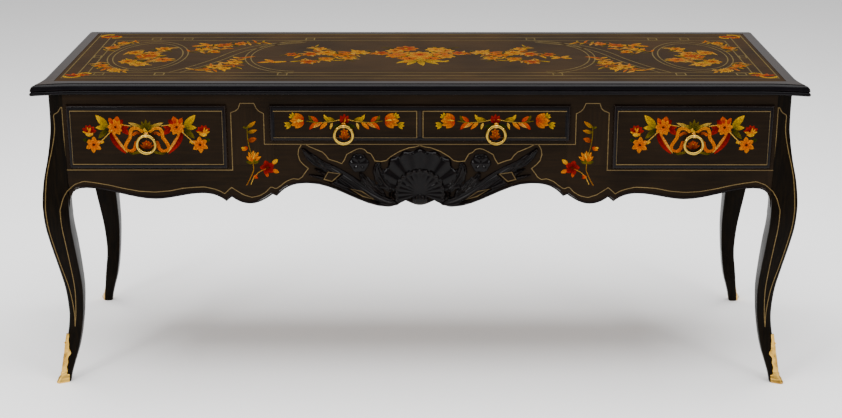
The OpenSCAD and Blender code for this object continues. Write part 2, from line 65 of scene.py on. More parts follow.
def loft(rings):
    """Closed solid through rings (m, n, 3): quads along it, and a fan of triangles to each end's centre."""
    rings = np.asarray(rings, float)
    m, n, _ = rings.shape
    pts = np.concatenate([rings.reshape(-1, 3), [rings[0].mean(0)], [rings[-1].mean(0)]])
    j = np.arange(n)
    k = (j + 1) % n
    first = np.stack([k, j, np.full(n, m * n)], -1)
    last = np.stack([(m - 1) * n + j, (m - 1) * n + k, np.full(n, m * n + 1)], -1)
    return pts, [grid_faces(m, n, True), np.concatenate([first, last])]


def merge(parts):
    """Several (points, [face arrays]) as one."""
    pts, faces, at = [], [], 0
    for p, fs in parts:
        pts.append(p)
        faces += [f + at for f in fs]
        at += len(p)
    return np.concatenate(pts), faces


def signed_volume(pts, faces):
    """Volume by the divergence theorem over fanned faces; negative when the faces look inward."""
    total = 0.0
    for f in faces:
        a = pts[f[:, 0]]
        for k in range(1, f.shape[1] - 1):
            total += np.einsum("ij,ij->i", a, np.cross(pts[f[:, k]], pts[f[:, k + 1]])).sum()
    return total


def make(name, solid, material, body, angle=35, tint=None, stands_for=()):
    """Mesh object from (points in mm, [face arrays]), turned outward, smooth below an angle in degrees."""
    pts, faces = solid
    if signed_volume(pts, faces) < 0:
        faces = [f[:, ::-1] for f in faces]
    mesh = bpy.data.meshes.new(name)
    mesh.vertices.add(len(pts))
    mesh.vertices.foreach_set("co", (pts / 1000).ravel())
    sizes = np.concatenate([np.full(len(f), f.shape[1]) for f in faces])
    index = np.concatenate([f.ravel() for f in faces])
    mesh.loops.add(len(index))
    mesh.loops.foreach_set("vertex_index", index)
    mesh.polygons.add(len(sizes))
    mesh.polygons.foreach_set("loop_start", np.concatenate([[0], np.cumsum(sizes)[:-1]]))
    mesh.update(calc_edges=True)
    mesh.validate()
    mesh.shade_smooth()
    mesh.set_sharp_from_angle(angle=np.radians(angle))
    if tint is not None:
        layer = mesh.attributes.new("Tint", "FLOAT_COLOR", "POINT")
        layer.data.foreach_set("color", np.column_stack([tint, np.ones(len(tint))]).ravel())
    mesh.materials.append(material)
    obj = bpy.data.objects.new(name, mesh)
    bpy.context.scene.collection.objects.link(obj)
    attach(obj, body)
    for node in stands_for:
        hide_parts(node)
    print(name, len(pts), "points", sum(len(f) for f in faces), "faces")
    return obj


def mirrored(solid, sx=1, sy=1):
    """The same solid reflected in x or y."""
    pts, faces = solid
    return pts * [sx, sy, 1], faces


def hermite(x, segs):
    """Piecewise cubic over rows [x0, y0, slope0, x1, y1, slope1]."""
    segs = np.asarray(segs, float)
    x = np.clip(x, segs[0, 0], segs[-1, 3])
    s = segs[np.clip(np.searchsorted(segs[:, 0], x, "right") - 1, 0, len(segs) - 1)]
    w = s[..., 3] - s[..., 0]
    t = (x - s[..., 0]) / w
    return (s[..., 1] * (1 - 3 * t**2 + 2 * t**3) + s[..., 4] * (3 * t**2 - 2 * t**3)
            + s[..., 2] * w * (t - 2 * t**2 + t**3) + s[..., 5] * w * (t**3 - t**2))


# %% [markdown]
# The finish is built as node groups, so that every timber shares the same lacquer: a thin brown
# varnish over ebonised wood. Faint grain shows through the colour, the film's roughness varies
# in slow cloudy patches, and the arrises are rubbed a little paler where hands and cloths pass.

# %% Shader helpers
def new_group(name, **inputs):
    """Empty shader group and its input sockets; each input takes its kind from its default."""
    g = bpy.data.node_groups.new(name, "ShaderNodeTree")
    for label, default in inputs.items():
        kind = {4: "Color", 3: "Vector"}[len(default)] if isinstance(default, tuple) else "Float"
        g.interface.new_socket(label, in_out="INPUT", socket_type="NodeSocket"
                               + kind).default_value = default
    for label, kind in (("Color", "Color"), ("Roughness", "Float"), ("Height", "Float")):
        g.interface.new_socket(label, in_out="OUTPUT", socket_type="NodeSocket" + kind)
    return g, g.nodes.new("NodeGroupInput").outputs


def give(tree, *sockets):
    """Links a colour, a roughness and a height to the group's outputs, and returns the group."""
    o = tree.nodes.new("NodeGroupOutput")
    for k, socket in enumerate(sockets):
        tree.links.new(socket, o.inputs[k])
    return tree


def add(tree, kind, links=(), **values):
    """A node with settings and input defaults, linked from (input name, socket) pairs."""
    n = tree.nodes.new("ShaderNode" + kind)
    for k, v in values.items():
        if k.startswith("in_"):
            n.inputs[k[3:].replace("_", " ")].default_value = v
        else:
            setattr(n, k, v)
    for target, source in links:
        tree.links.new(source, n.inputs[target])
    return n


def noise(tree, vec, scale, detail, rough=0.5):
    """Fractal noise of a vector."""
    return add(tree, "TexNoise", [("Vector", vec)], in_Scale=scale, in_Detail=detail,
               in_Roughness=rough).outputs["Fac"]


def combine(tree, operation, a, b):
    """Sum or product of two sockets."""
    return add(tree, "Math", [(0, a), (1, b)], operation=operation).outputs[0]


def spread(tree, source, low, high):
    """Noise between 0.3 and 0.7 stretched to a range around nought."""
    return add(tree, "MapRange", [("Value", source)], in_From_Min=0.3, in_From_Max=0.7, in_To_Min=low,
               in_To_Max=high).outputs[0]


def ramp(tree, source, stops):
    """Colour ramp from (position, colour) stops."""
    r = add(tree, "ValToRGB", [("Fac", source)])
    while len(r.color_ramp.elements) < len(stops):
        r.color_ramp.elements.new(0.5)
    for e, (pos, col) in zip(r.color_ramp.elements, stops):
        e.position = pos
        e.color = (*col, 1)
    return r.outputs["Color"]


def rise(tree, source, low, high):
    """Grey ramp from black at one value to white at another."""
    return ramp(tree, source, [(low, (0, 0, 0)), (high, (1, 1, 1))])


def mix(tree, fac, a, b, blend="MIX"):
    """Colour mix of sockets or constant colours."""
    n = add(tree, "Mix", data_type="RGBA", blend_type=blend)
    for i, v in ((0, fac), (6, a), (7, b)):
        if isinstance(v, bpy.types.NodeSocket):
            tree.links.new(v, n.inputs[i])
        else:
            n.inputs[i].default_value = v if i == 0 else (*v, 1)
    return n.outputs[2]


def lacquer_group():
    """Colour with grain and rubbed arrises, cloudy roughness, and a fine height for the film."""
    g, i = new_group("Lacquered timber", Base=(0.02, 0.012, 0.008, 1), Grain=(0.05, 0.03, 0.015, 1),
                     Stretch=(4, 60, 60), Wear=0.4, Roughness=0.25)
    plain = add(g, "TexCoord").outputs["Object"]
    along = add(g, "VectorMath", [(0, plain), (1, i["Stretch"])], operation="MULTIPLY").outputs[0]
    grain, cloud, dust = noise(g, along, 3.0, 6.0, 0.6), noise(g, plain, 6.0, 3.0), noise(g, plain, 700.0,
                                                                                          2.0)
    col = mix(g, rise(g, grain, 0.42, 0.72), i["Base"], i["Grain"])
    edge = rise(g, add(g, "NewGeometry").outputs["Pointiness"], 0.52, 0.60)
    worn = combine(g, "MULTIPLY", combine(g, "MULTIPLY", edge, cloud), i["Wear"])
    col = mix(g, worn, col, (0.16, 0.09, 0.045))
    return give(g, col, combine(g, "ADD", spread(g, cloud, -0.05, 0.09), i["Roughness"]),
                combine(g, "ADD", dust, grain))


def metal_group():
    """Gilt or brass: colour that darkens in hollows, brightens on arrises, with cast and brushed marks."""
    g, i = new_group("Gilt metal", Bright=(0.8, 0.5, 0.12, 1), Dark=(0.2, 0.09, 0.02, 1), Roughness=0.25,
                     Pits=0.5)
    plain = add(g, "TexCoord").outputs["Object"]
    fine, slow = noise(g, plain, 160.0, 5.0), noise(g, plain, 28.0, 3.0)
    crest = rise(g, add(g, "NewGeometry").outputs["Pointiness"], 0.40, 0.52)
    soil = ramp(g, slow, [(0.30, (0.25, 0.25, 0.25)), (0.55, (1, 1, 1))])
    col = mix(g, combine(g, "MULTIPLY", crest, soil), i["Dark"], i["Bright"])
    return give(g, col, combine(g, "ADD", spread(g, slow, -0.06, 0.12), i["Roughness"]),
                combine(g, "MULTIPLY", fine, i["Pits"]))


LACQUER, METAL = lacquer_group(), metal_group()
FILM_DEPTH = 0.0004                           # metres of relief at full bump strength


def finish_material(name, group, values, bump, metallic=0.0, tint=False, specular=0.5):
    """Principled material fed by a group; tint takes the colour from the piece's own Tint attribute."""
    mat = bpy.data.materials.new(name)
    mat.use_nodes = True
    tree = mat.node_tree
    shader = next(n for n in tree.nodes if n.type == "BSDF_PRINCIPLED")
    g = add(tree, "Group", node_tree=group)
    for k, v in values.items():
        g.inputs[k].default_value = (*v, 1) if isinstance(v, tuple) and g.inputs[k].type == "RGBA" else v
    colour = g.outputs["Color"]
    if tint:
        own = add(tree, "Attribute", attribute_name="Tint")
        colour = mix(tree, 1.0, own.outputs["Color"], colour, "MULTIPLY")
    tree.links.new(colour, shader.inputs["Base Color"])
    tree.links.new(g.outputs["Roughness"], shader.inputs["Roughness"])
    b = add(tree, "Bump", [("Height", g.outputs["Height"])], in_Strength=bump,
            in_Distance=FILM_DEPTH)
    tree.links.new(b.outputs["Normal"], shader.inputs["Normal"])
    shader.inputs["Metallic"].default_value = metallic
    shader.inputs["Specular IOR Level"].default_value = specular
    return mat


# %% [markdown]
# The top is seen at a low angle, where even a weak film mirrors the room, so the specular level
# of its lacquer and of the inlay is kept close to nothing. The mouldings and the carving are
# smoother and glossier, which draws thin lights along them.

# %% The finishes
def lacquered(name, base, grain, stretch, wear, rough, bump, **more):
    """Timber: colours of ground and grain, the grain's stretch, wear, roughness, bump strength."""
    values = {"Base": base, "Grain": grain, "Stretch": stretch, "Wear": wear, "Roughness": rough}
    return finish_material(name, LACQUER, values, bump, **more)


def metal(name, bright, dark, rough, pits, bump):
    """Metal: colours of crests and hollows, roughness, pits, bump strength."""
    values = {"Bright": bright, "Dark": dark, "Roughness": rough, "Pits": pits}
    return finish_material(name, METAL, values, bump, metallic=1.0)


ALONG_X, ALONG_Y, ALONG_Z = (4.0, 60.0, 60.0), (60.0, 4.0, 60.0), (60.0, 60.0, 4.0)
lacquer_x, lacquer_y, lacquer_z = (
    lacquered(name, (0.0018, 0.0010, 0.0003), (0.0056, 0.0031, 0.0010), run, 0.10, 0.30, 0.10,
              specular=0.04)
    for name, run in (("lacquer_x", ALONG_X), ("lacquer_y", ALONG_Y), ("lacquer_z", ALONG_Z)))
top_lacquer = lacquered("top_lacquer", (0.0024, 0.0016, 0.0007), (0.0070, 0.0046, 0.0020), ALONG_X,
                        0.2, 0.36, 0.10, specular=0.004)
moulding_black = lacquered("moulding_black", (0.0012, 0.0009, 0.0014), (0.0032, 0.0022, 0.0030), ALONG_X,
                           0.10, 0.14, 0.03, specular=0.09)
carved_black = lacquered("carved_black", (0.0012, 0.0008, 0.0010), (0.0034, 0.0021, 0.0020),
                         (30.0, 60.0, 30.0), 0.12, 0.15, 0.03, specular=0.09)
inlay_line = lacquered("inlay_line", (0.105, 0.066, 0.020), (0.17, 0.112, 0.036), ALONG_X,
                       0.0, 0.38, 0.05, specular=0.15)
# The top's stringing is the same wood as the case's stringing at about half its colour: painted shade that
# offsets the stronger light falling on the top.
top_line_painted_shade = lacquered("top_line_painted_shade", (0.050, 0.034, 0.010), (0.090, 0.062, 0.019), ALONG_X,
                     0.0, 0.38, 0.05, specular=0.01)
veneer = lacquered("flower_veneers", (0.30, 0.22, 0.14), (0.95, 0.90, 0.80), (260.0, 260.0, 120.0),
                   0.0, 0.42, 0.08, tint=True, specular=0.01)
pale_timber = lacquered("pale_timber", (0.30, 0.18, 0.09), (0.46, 0.31, 0.17), ALONG_Y, 0.1, 0.55, 0.4)
gilt = metal("gilt", (0.83, 0.50, 0.09), (0.22, 0.09, 0.012), 0.26, 1.0, 0.5)
ring_brass = metal("ring_brass", (0.46, 0.30, 0.045), (0.20, 0.11, 0.014), 0.20, 0.3, 0.2)
steel = metal("screw_steel", (0.6, 0.6, 0.62), (0.2, 0.19, 0.18), 0.3, 0.4, 0.3)


def paint(material, *names):
    """Gives CAD nodes their finish."""
    for n in names:
        o = nodes[n]
        if not o.data.materials:
            o.data.materials.append(material)
        for s in o.material_slots:
            s.material = material


def named(*starts):
    """CAD nodes whose names begin with any of the given words."""
    return [n for n in nodes if n.startswith(starts)]


paint(lacquer_x, "front_top_rail", "front_apron", "back_apron")
paint(lacquer_z, "front_stile_left", "front_stile_right")
paint(lacquer_y, "side_apron_left", "side_apron_right")
paint(moulding_black, "apron_beading")
paint(pale_timber, *named("partition", "runners", "kickers", "corner"),
      *[n for n in named("drawer_") if not n.endswith("front")])
paint(ring_brass, *named("ring_"))
paint(gilt, *named("eye_post"), "sabot_screws")
paint(steel, "top_screws")

# %% [markdown]
# The top's edge is a run of moulding worked on a solid lipping: a quarter-round, a narrow quirk
# and a bead below. At the two front corners the line of the edge swings out into a blunt ear.
# The moulding is one profile carried along that line; its width at a mitre grows with the turn.

# %% Edge mouldings
def moulding_profile():
    """(outward, up) points of the moulding from the top surface down to the underside."""
    a = np.radians(np.linspace(0, 90, 14))
    ovolo = np.stack([1.2 + (NOSE - 2.6) * np.sin(a), 12 + (TOP_T - 13.4) * np.cos(a)], -1)
    b = np.radians(np.linspace(90, -90, 14))
    bead = np.stack([NOSE - 4.2 + 4.2 * np.cos(b), 5 + 4.6 * np.sin(b)], -1)
    return np.concatenate([[[0, TOP_T], [0.5, TOP_T - 1.1], [1.2, TOP_T - 1.3]], ovolo,
                           [[NOSE - 2.2, 11.2], [NOSE - 3.4, 10.6]], bead, [[NOSE - 5, 0]]])


def moulding_rings(edge, inner, turn):
    """Rings (m, n, 3): an inner edge top and bottom, then the profile pushed out along turn."""
    p = moulding_profile()
    run = edge[:, None, :] + turn[:, None, :] * p[None, :, :1]
    z = np.broadcast_to(TOP_H - TOP_T + p[None, :, 1:], run.shape[:2] + (1,))
    lip = np.stack([np.column_stack([inner, np.full(len(inner), h)]) for h in (TOP_H - TOP_T, TOP_H)], 1)
    return np.concatenate([lip, np.concatenate([run, z], -1)], 1)


def flare(t):
    """How far an ear has swung out, 0 to 1, at a fraction of its run."""
    return np.clip(t, 0, 1) ** 1.8


panel_w, panel_f, panel_b = SIGHT_W - LIPPING, -(SIGHT_F - LIPPING), SIGHT_B - LIPPING
ear_x, ear_y = SIGHT_W + EAR_X, -(SIGHT_F + EAR_Y)
half = np.concatenate([[0.0], np.linspace(ear_x - EAR_RUN, ear_x, 40)])
x = np.concatenate([-half[:0:-1], half])
turn_x = np.sign(x) * np.clip((abs(x) - panel_w) / (ear_x - panel_w), 0, 1)
front_rings = moulding_rings(
    np.stack([x, -SIGHT_F - EAR_Y * flare((abs(x) - (ear_x - EAR_RUN)) / EAR_RUN)], -1),
    np.stack([np.clip(x, -panel_w, panel_w), np.full_like(x, panel_f)], -1),
    np.stack([turn_x, np.full_like(x, -1.0)], -1))
make("edge_front", loft(front_rings), moulding_black, "frame", stands_for=["edge_moulding_front"])
y = np.concatenate([[SIGHT_B, panel_b], np.linspace(ear_y + EAR_RUN, ear_y, 40)])
ahead = np.clip((panel_f - y) / (panel_f - ear_y), 0, 1)
behind = np.clip((y - panel_b) / (SIGHT_B - panel_b), 0, 1)
side_rings = moulding_rings(
    np.stack([SIGHT_W + EAR_X * flare((-y - (-ear_y - EAR_RUN)) / EAR_RUN) + 0.1 * ahead, y], -1),
    np.stack([np.full_like(y, panel_w + 0.2), np.clip(y, panel_f + 0.2, panel_b)], -1),
    np.stack([np.ones_like(y), behind - ahead], -1))
make("edge_right", loft(side_rings), moulding_black, "frame", stands_for=["edge_moulding_right"])
make("edge_left", mirrored(loft(side_rings), -1), moulding_black, "frame",
     stands_for=["edge_moulding_left"])
x = np.array([SIGHT_W - 0.2, -SIGHT_W + 0.2])
back_rings = moulding_rings(np.stack([x, np.full(2, SIGHT_B)], -1),
    np.stack([np.sign(x) * panel_w, np.full(2, panel_b + 0.2)], -1), np.stack([np.sign(x), np.ones(2)], -1))
make("edge_back", loft(back_rings), moulding_black, "frame", stands_for=["edge_moulding_back"])

# %% [markdown]
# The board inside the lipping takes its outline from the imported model. Its face lies a hair under
# the lipping, which leaves room for the thickness of the inlay.

# %% The veneered board of the top
corner = np.array([nodes["top_panel"].matrix_world @ Vector(v) for v in nodes["top_panel"].bound_box]) * 1000
(x0, y0, z0), (x1, y1, _) = corner.min(0), corner.max(0)
outline = [(x0, y0), (x1, y0), (x1, y1), (x0, y1)]
make("top_board", loft([[(u, w, h) for u, w in outline] for h in (z0, BOARD_H)]), top_lacquer, "frame",
     stands_for=["top_panel"])

# %% [markdown]
# A cabriole leg is sawn from square stock: the same double curve is cut on two faces, so the
# outer corner draws an S that swells at the knee and draws in at the ankle. The outer arris is
# then rounded with a spokeshave. The section here is a square with corners softened by short
# quadratic curves, and its outward offset follows a smooth curve through measured heights.

# %% Legs
# Rows: height, offset of the outer corner, offset of the inner corner.
LEG = np.array([[0, 13, -8], [23, 11, -13], [47, 7, -20], [79, 2, -30], [111, -3, -37], [143, -8, -42],
                [178, -10, -46], [238, -6, -49], [300, 5, -46], [362, 17, -41], [410, 25, -36],
                [455, 28, -34],
                [483, 27, -34], [528, 21.5, -34], [573, 12, -34], [610, 5.5, -34], [650, 0.8, -34],
                [734, 0, -34]], float)


def leg_value(z, column):
    """Offset at a height: cubic pieces through the table with slopes from each point's neighbours."""
    zk, vk = LEG[:, 0], LEG[:, column]
    slope = np.empty_like(vk)
    slope[1:-1] = (vk[2:] - vk[:-2]) / (zk[2:] - zk[:-2])
    slope[0] = (vk[1] - vk[0]) / (zk[1] - zk[0])
    slope[-1] = (vk[-1] - vk[-2]) / (zk[-1] - zk[-2])
    return hermite(z, np.column_stack([zk[:-1], vk[:-1], slope[:-1], zk[1:], vk[1:], slope[1:]]))


def leg_face(z):
    """Outer offset e, inner offset n, and the front face's offset f at its inner edge."""
    e = leg_value(z, 1)
    n = np.minimum(leg_value(z, 2), np.where(z > 440, -POST, 0))
    fade = np.where(z > 560, 0, np.where(z < 320, 1, np.cos(np.radians(90 * (z - 320) / 240)) ** 2))
    return e, n, e * fade


def arc(a, c, b, r, steps=7):
    """Quadratic curve that rounds corner c between neighbours a and b, for whole arrays of corners."""
    def toward(q):
        d = np.linalg.norm(q - c, axis=-1, keepdims=True)
        return c + (q - c) * np.minimum(0.45, r / d)
    p, q = toward(a)[:, None], toward(b)[:, None]
    t = np.linspace(0, 1, steps)[None, :, None]
    return p * (1 - t) ** 2 + c[:, None] * 2 * t * (1 - t) + q * t**2


z = np.linspace(0, 733.8, 190)
e, n, f = leg_face(z)
c = [np.stack(v, -1) for v in ([e, e], [n, f], [n, n], [f, n])]
soft = np.where(z > 500, 0.3, np.where(z > 430, 3.0, 6.0))[:, None]
section = np.concatenate([arc(c[3], c[0], c[1], 11.0, 9), arc(c[0], c[1], c[2], soft),
                          arc(c[1], c[2], c[3], soft), arc(c[2], c[3], c[0], soft)], 1)
leg_rings = np.stack([CASE_W + section[..., 0], -CASE_D - section[..., 1],
                      np.broadcast_to(z[:, None], section.shape[:2])], -1)
CORNERS = {"front_right": (1, 1), "front_left": (-1, 1), "back_right": (1, -1), "back_left": (-1, -1)}
for place, (sx, sy) in CORNERS.items():
    make("cabriole_" + place, mirrored(loft(leg_rings), sx, sy), lacquer_z, "frame",
         stands_for=["leg_" + place])

# %% [markdown]
# The foot mount is cast and gilt: an acanthus leaf laid over the outer corner of the foot, that
# narrows to a waist and rolls forward into the toe. It is a thin shell on the leg's corner. The
# shell's arms follow the leaf's outline, and its thickness carries the veins and the rolled toe.

# %% Foot mounts
SABOT_H, SABOT_T = 122.0, 2.6


def sabot_rings(z):
    """Shell on the outer corner: inner path against the leg, outer path with veins, at each height."""
    t = z / SABOT_H
    e = leg_value(z, 1) + 0.2
    arm = np.where(t < 0.16, 19,
                   4 + 9 * np.clip(1 - t, 0, 1) ** 0.7 + 5.5 * np.exp(-((t - 0.62) / 0.09) ** 2))
    arm = arm * (1 + 0.10 * np.sin(t * 34) * (t > 0.2))
    thick = SABOT_T + 8.6 * np.exp(-((z - 3) / 13) ** 2)
    r = np.minimum(9, arm * 0.6)
    q = r * 0.8
    k = np.linspace(0, 1, 15)[None]
    bend = np.radians(90 * k)
    e, arm, thick, r, q, tt = (v[:, None] for v in (e, arm, thick, r, q, t))
    inner = np.stack([e - r + r * np.sin(bend), e - r + r * np.cos(bend)], -1)
    vein = 0.55 * np.cos(k * np.pi * 6) * np.sin(np.pi * np.clip(tt, 0, 1)) * (tt > 0.15)
    roll = 1.0 * np.sin(tt * 75) * (tt < 0.26)
    w = e + thick - q + (q + vein + roll * 0.5) * np.sin(bend)
    v = e + thick - q + (q + vein + roll * 0.5) * np.cos(bend)
    outer = np.stack([w, v], -1)[:, ::-1]
    start = np.concatenate([e - arm, e], -1)[:, None]
    end = np.concatenate([e, e - arm], -1)[:, None]
    lip_a = np.concatenate([e + SABOT_T * 0.7, e - arm], -1)[:, None]
    lip_b = np.concatenate([e - arm, e + SABOT_T * 0.7], -1)[:, None]
    s = np.concatenate([start, inner, end, lip_a, outer, lip_b], 1)
    return np.stack([CASE_W + s[..., 0], -CASE_D - s[..., 1], np.broadcast_to(z[:, None], s.shape[:2])], -1)


shell = loft(sabot_rings(np.linspace(0, SABOT_H, 120)))
for place, (sx, sy) in CORNERS.items():
    make("foot_mount_" + place, mirrored(shell, sx, sy), gilt, "frame", angle=60,
         stands_for=["sabot_" + place])

# %% [markdown]
# A drawer front is a board with a thumb-moulded edge: a quarter-round all round, a small quirk,
# and the flat field. It is one profile carried round a rectangle, so the corners are mitres.

# %% Drawer fronts
def board(hw, low, high, cx):
    """Nested rectangles: (inset, y) rows from the tongue's back, over the lap, to the field's centre."""
    a = np.radians(np.linspace(0, 90, 9))
    lap = [(9.5, -264.0, 1), (9.5, -276.2, 1), (0, -276.2, 0), (0, -278.6, 0)]
    lap += [(7 * (1 - np.cos(v)), -278.6 - 6.4 * np.sin(v), 0) for v in a]
    lap += [(9, -285, 0), (9.5, -283.9, 0), (11.6, -283.9, 0), (12, FIELD_Y, 0)]
    rings = []
    for inset, yy, tongue in lap:
        x0, x1, z0, z1 = -hw - 8 + inset, hw + 8 - inset, low - 8 + inset, high + 8 - inset
        if tongue:
            z0 = low + 0.3
        rings.append([[cx + u, yy, w] for u, w in ((x0, z0), (x1, z0), (x1, z1), (x0, z1))])
    return loft(rings)


def bar(x0, x1, z0, z1, y0, rise):
    """Low raised strip with a rounded face between two heights."""
    a = np.radians(np.linspace(0, 180, 9))
    xs, ys = (x0 + x1) / 2 - (x1 - x0) / 2 * np.cos(a), y0 - rise * np.sin(a)
    ring = np.concatenate([np.stack([xs, ys], -1), [[x1, y0 + 1], [x0, y0 + 1]]])
    return loft([np.column_stack([ring, np.full(len(ring), zz)]) for zz in (z0, z1)])


SIDE_CX, SIDE_HW, MID_HW = 645.5, 180.5, 347.0          # middles and half widths of the openings
OPEN_TOP, OPEN_LOW, OPEN_MID = 698.0, 558.0, 626.0      # their head, and their two sills
TONGUE_QUADS, FIELD_TRIS = 8, 4


def edge_gloss(obj):
    """The moulded edge takes the gloss black; the tongue and the field keep the lacquer."""
    polys = obj.data.polygons
    which = np.ones(len(polys), int)
    which[:TONGUE_QUADS] = 0
    which[-FIELD_TRIS:] = 0
    obj.data.materials.append(moulding_black)
    polys.foreach_set("material_index", which)


for place, size in (("left", (SIDE_HW, OPEN_LOW, OPEN_TOP, -SIDE_CX)),
                    ("right", (SIDE_HW, OPEN_LOW, OPEN_TOP, SIDE_CX)),
                    ("centre", (MID_HW, OPEN_MID, OPEN_TOP, 0))):
    edge_gloss(make("front_board_" + place, board(*size), lacquer_x, "drawer_" + place,
                    stands_for=["drawer_" + place + "_front"]))
make("front_bar_centre", bar(-3.5, 3.5, 630, 694, FIELD_Y, 1.0), moulding_black, "drawer_centre")

# %% [markdown]
# The black ornament under the centre drawer is carved from the solid and glued on: a scallop
# shell with a beaded rim, a ruffled fan behind it, a volute and a rosette on each side, and a
# reeded branch that sweeps out along the apron. It is one height over the apron's face, made of
# separate reliefs of which the highest wins, as a carver leaves the nearer form standing.

# %% Carving
APRON = [[0, 457.5, 0, 35, 469.5, 0.45], [35, 469.5, -0.6, 77, 453, 0], [77, 453, 0, 265, 512, 0],
         [265, 512, 0, 343, 480, -1.2], [343, 480, 0.45, 353, 484.5, 0.45],
         [353, 484.5, -0.75, 407, 461, 0],
         [407, 461, 0, 451, 478, 0.8], [451, 478, -0.85, 464, 467, -0.85], [464, 467, 0.85, 521, 487, 0],
         [521, 487, 0, 634, 472.5, 0], [634, 472.5, 0, 798, 500, 0]]
HUB, VOLUTE, ROSE = (0.0, 489.0), (56.0, 484.0), (145.0, 563.0)
FAN_R, SHELL_R, VOLUTE_R, ROSE_R = 108.0, 60.0, 18.0, 21.5
FRONDS = [  # points of the spine, half width, height, reeds, lobes, bite
    ([(52, 463), (82, 467), (112, 481), (142, 500), (173, 522), (205, 543), (240, 563), (278, 597)],
     17, 8.5, 1.6, 0, 0),
    ([(222, 552), (246, 566), (264, 580), (280, 600)], 13, 9.5, 1.0, 0, 0),
    ([(96, 470), (140, 486), (178, 503), (214, 519), (244, 529), (268, 534)], 10, 6.5, 1.2, 0, 0),
    ([(66, 496), (84, 512), (97, 532), (103, 552), (94, 566)], 19, 7.5, 2.2, 5, 0.16),
    ([(86, 482), (112, 500), (132, 520), (144, 540)], 17, 7.0, 2.4, 5, 0.18),
    ([(176, 524), (200, 531), (226, 536), (252, 550)], 9, 5.5, 1.5, 4, 0.12)]


def frond(X, Z, spine, width, height, reeds, lobes, bite):
    """Leaf along a spine: across it the height is a dome with reeds, and its outline may be lobed."""
    spine = np.asarray(spine, float)
    seg = np.linalg.norm(np.diff(spine, axis=0), axis=1)
    s_at = np.concatenate([[0], np.cumsum(seg)]) / seg.sum()
    s = np.linspace(0, 1, 90)
    cx, cz = np.interp(s, s_at, spine[:, 0]), np.interp(s, s_at, spine[:, 1])
    k = np.ones(9) / 9
    cx, cz = (np.convolve(np.pad(v, 4, "edge"), k, "valid") for v in (cx, cz))
    d2 = (X[..., None] - cx) ** 2 + (Z[..., None] - cz) ** 2
    near = d2.argmin(-1)
    tx, tz = np.gradient(cx)[near], np.gradient(cz)[near]
    side = np.sign((X - cx[near]) * tz - (Z - cz[near]) * tx)
    d, s = np.sqrt(d2.min(-1)), s[near]
    w = width * np.sin(np.pi * np.clip(0.06 + 0.94 * s, 0, 1)) ** 0.55 * (1 - 0.25 * s)
    w = w * (1 - bite * (0.5 + 0.5 * np.cos(2 * np.pi * lobes * s)))
    q = np.clip(d / np.maximum(w, 0.1), 0, 1.2)
    dome = np.clip(1 - q**2, 0, 1) ** 0.42
    reed = 1.5 * np.cos(2 * np.pi * (reeds * q * side + 0.6 * s))
    vein = 1.3 * np.exp(-((d / 1.6) ** 2))
    return np.where(q < 1, dome * (height + reed) + vein, 0.0)


LOZENGES = [np.array([(219, 540), (229, 522), (210, 517), (190, 535.5)], float),
            np.array([(166, 498), (137, 479.5), (110, 472), (139, 492)], float)]


def within(corners, A, Z, margin=0.0):
    """True inside a clockwise polygon widened by a margin, by the distance to each of its sides."""
    inside = np.ones(A.shape, bool)
    for p, q in zip(corners, np.roll(corners, -1, 0)):
        d = (q - p) / np.linalg.norm(q - p)
        inside &= (A - p[0]) * d[1] - (Z - p[1]) * d[0] > -margin
    return inside


def carving_height(X, Z):
    """Height of the ornament over the apron at (X, Z)."""
    A = abs(X)
    v = np.stack([A - HUB[0], Z - HUB[1]], -1)
    r = np.linalg.norm(v, axis=-1)
    a = np.degrees(np.arctan2(v[..., 0], v[..., 1]))
    fan_r = FAN_R + 3.5 * np.cos(np.radians(a * 18)) - 10 * np.clip((a - 40) / 30, 0, 1)
    u = np.clip(r / fan_r, 0, 1.2)
    fan = np.where((u < 1) & (a < 82), (4.5 + 2.6 * np.cos(np.radians(a * 18)) * u**1.5 + 3.5 * u)
                   * np.clip((1 - u) * 16, 0, 1) ** 0.5, 0)
    shell_r = SHELL_R + 1.6 * np.cos(np.radians(a * 24))
    w = np.clip(r / shell_r, 0, 1.2)
    ribs = 2.3 * abs(np.cos(np.radians(a * 12))) ** 0.7 * np.clip(w * 1.6, 0, 1)
    beads = 0.45 + 0.55 * np.cos(np.radians(a * 36)) ** 2
    rim = 2.4 * np.exp(-(((r - shell_r + 4.0) / 3.0) ** 2)) * beads
    dish = 6.5 + 4.6 * np.sin(np.pi * np.clip(w, 0, 1) ** 1.3 * 0.72)
    shell = np.where((w < 1) & (a < 116), dish + ribs + rim, 0)
    bulb = 11.5 * np.clip(1 - (A / 21) ** 2 - ((Z - 474) / 15) ** 2, 0, 1) ** 0.45
    bulb = bulb + np.where(bulb > 0, 1.4 * np.cos(A * 0.75), 0)
    m, spin = np.hypot(A - VOLUTE[0], Z - VOLUTE[1]), np.arctan2(Z - VOLUTE[1], A - VOLUTE[0])
    coil = 8.5 + 3.0 * np.cos(2 * np.pi * (m / 6.2) - spin) * np.clip(m / 3, 0, 1)
    eye = 3.0 * np.exp(-((m / 3.2) ** 2))
    volute = np.where(m < VOLUTE_R, coil + eye - 3 * np.clip((m - VOLUTE_R + 4) / 4, 0, 1), 0)
    p, ang = np.hypot(A - ROSE[0], Z - ROSE[1]), np.arctan2(Z - ROSE[1], A - ROSE[0])
    petal = 0.5 + 0.5 * np.cos(ang * 6)
    rose_r = ROSE_R + 2.6 * petal
    ring = 4.2 * np.sin(np.pi * np.clip(p / rose_r, 0, 1)) * (0.45 + 0.55 * petal)
    rose = np.where(p < rose_r, 4.5 + ring + 3.5 * np.exp(-((p / 4.6) ** 2)), 0)
    high = np.max([fan, shell, bulb, volute, rose] + [frond(A, Z, *f) for f in FRONDS], axis=0)
    return np.where(within(LOZENGES[0], A, Z, 3.5) | within(LOZENGES[1], A, Z, 2.5), 0.0, high)


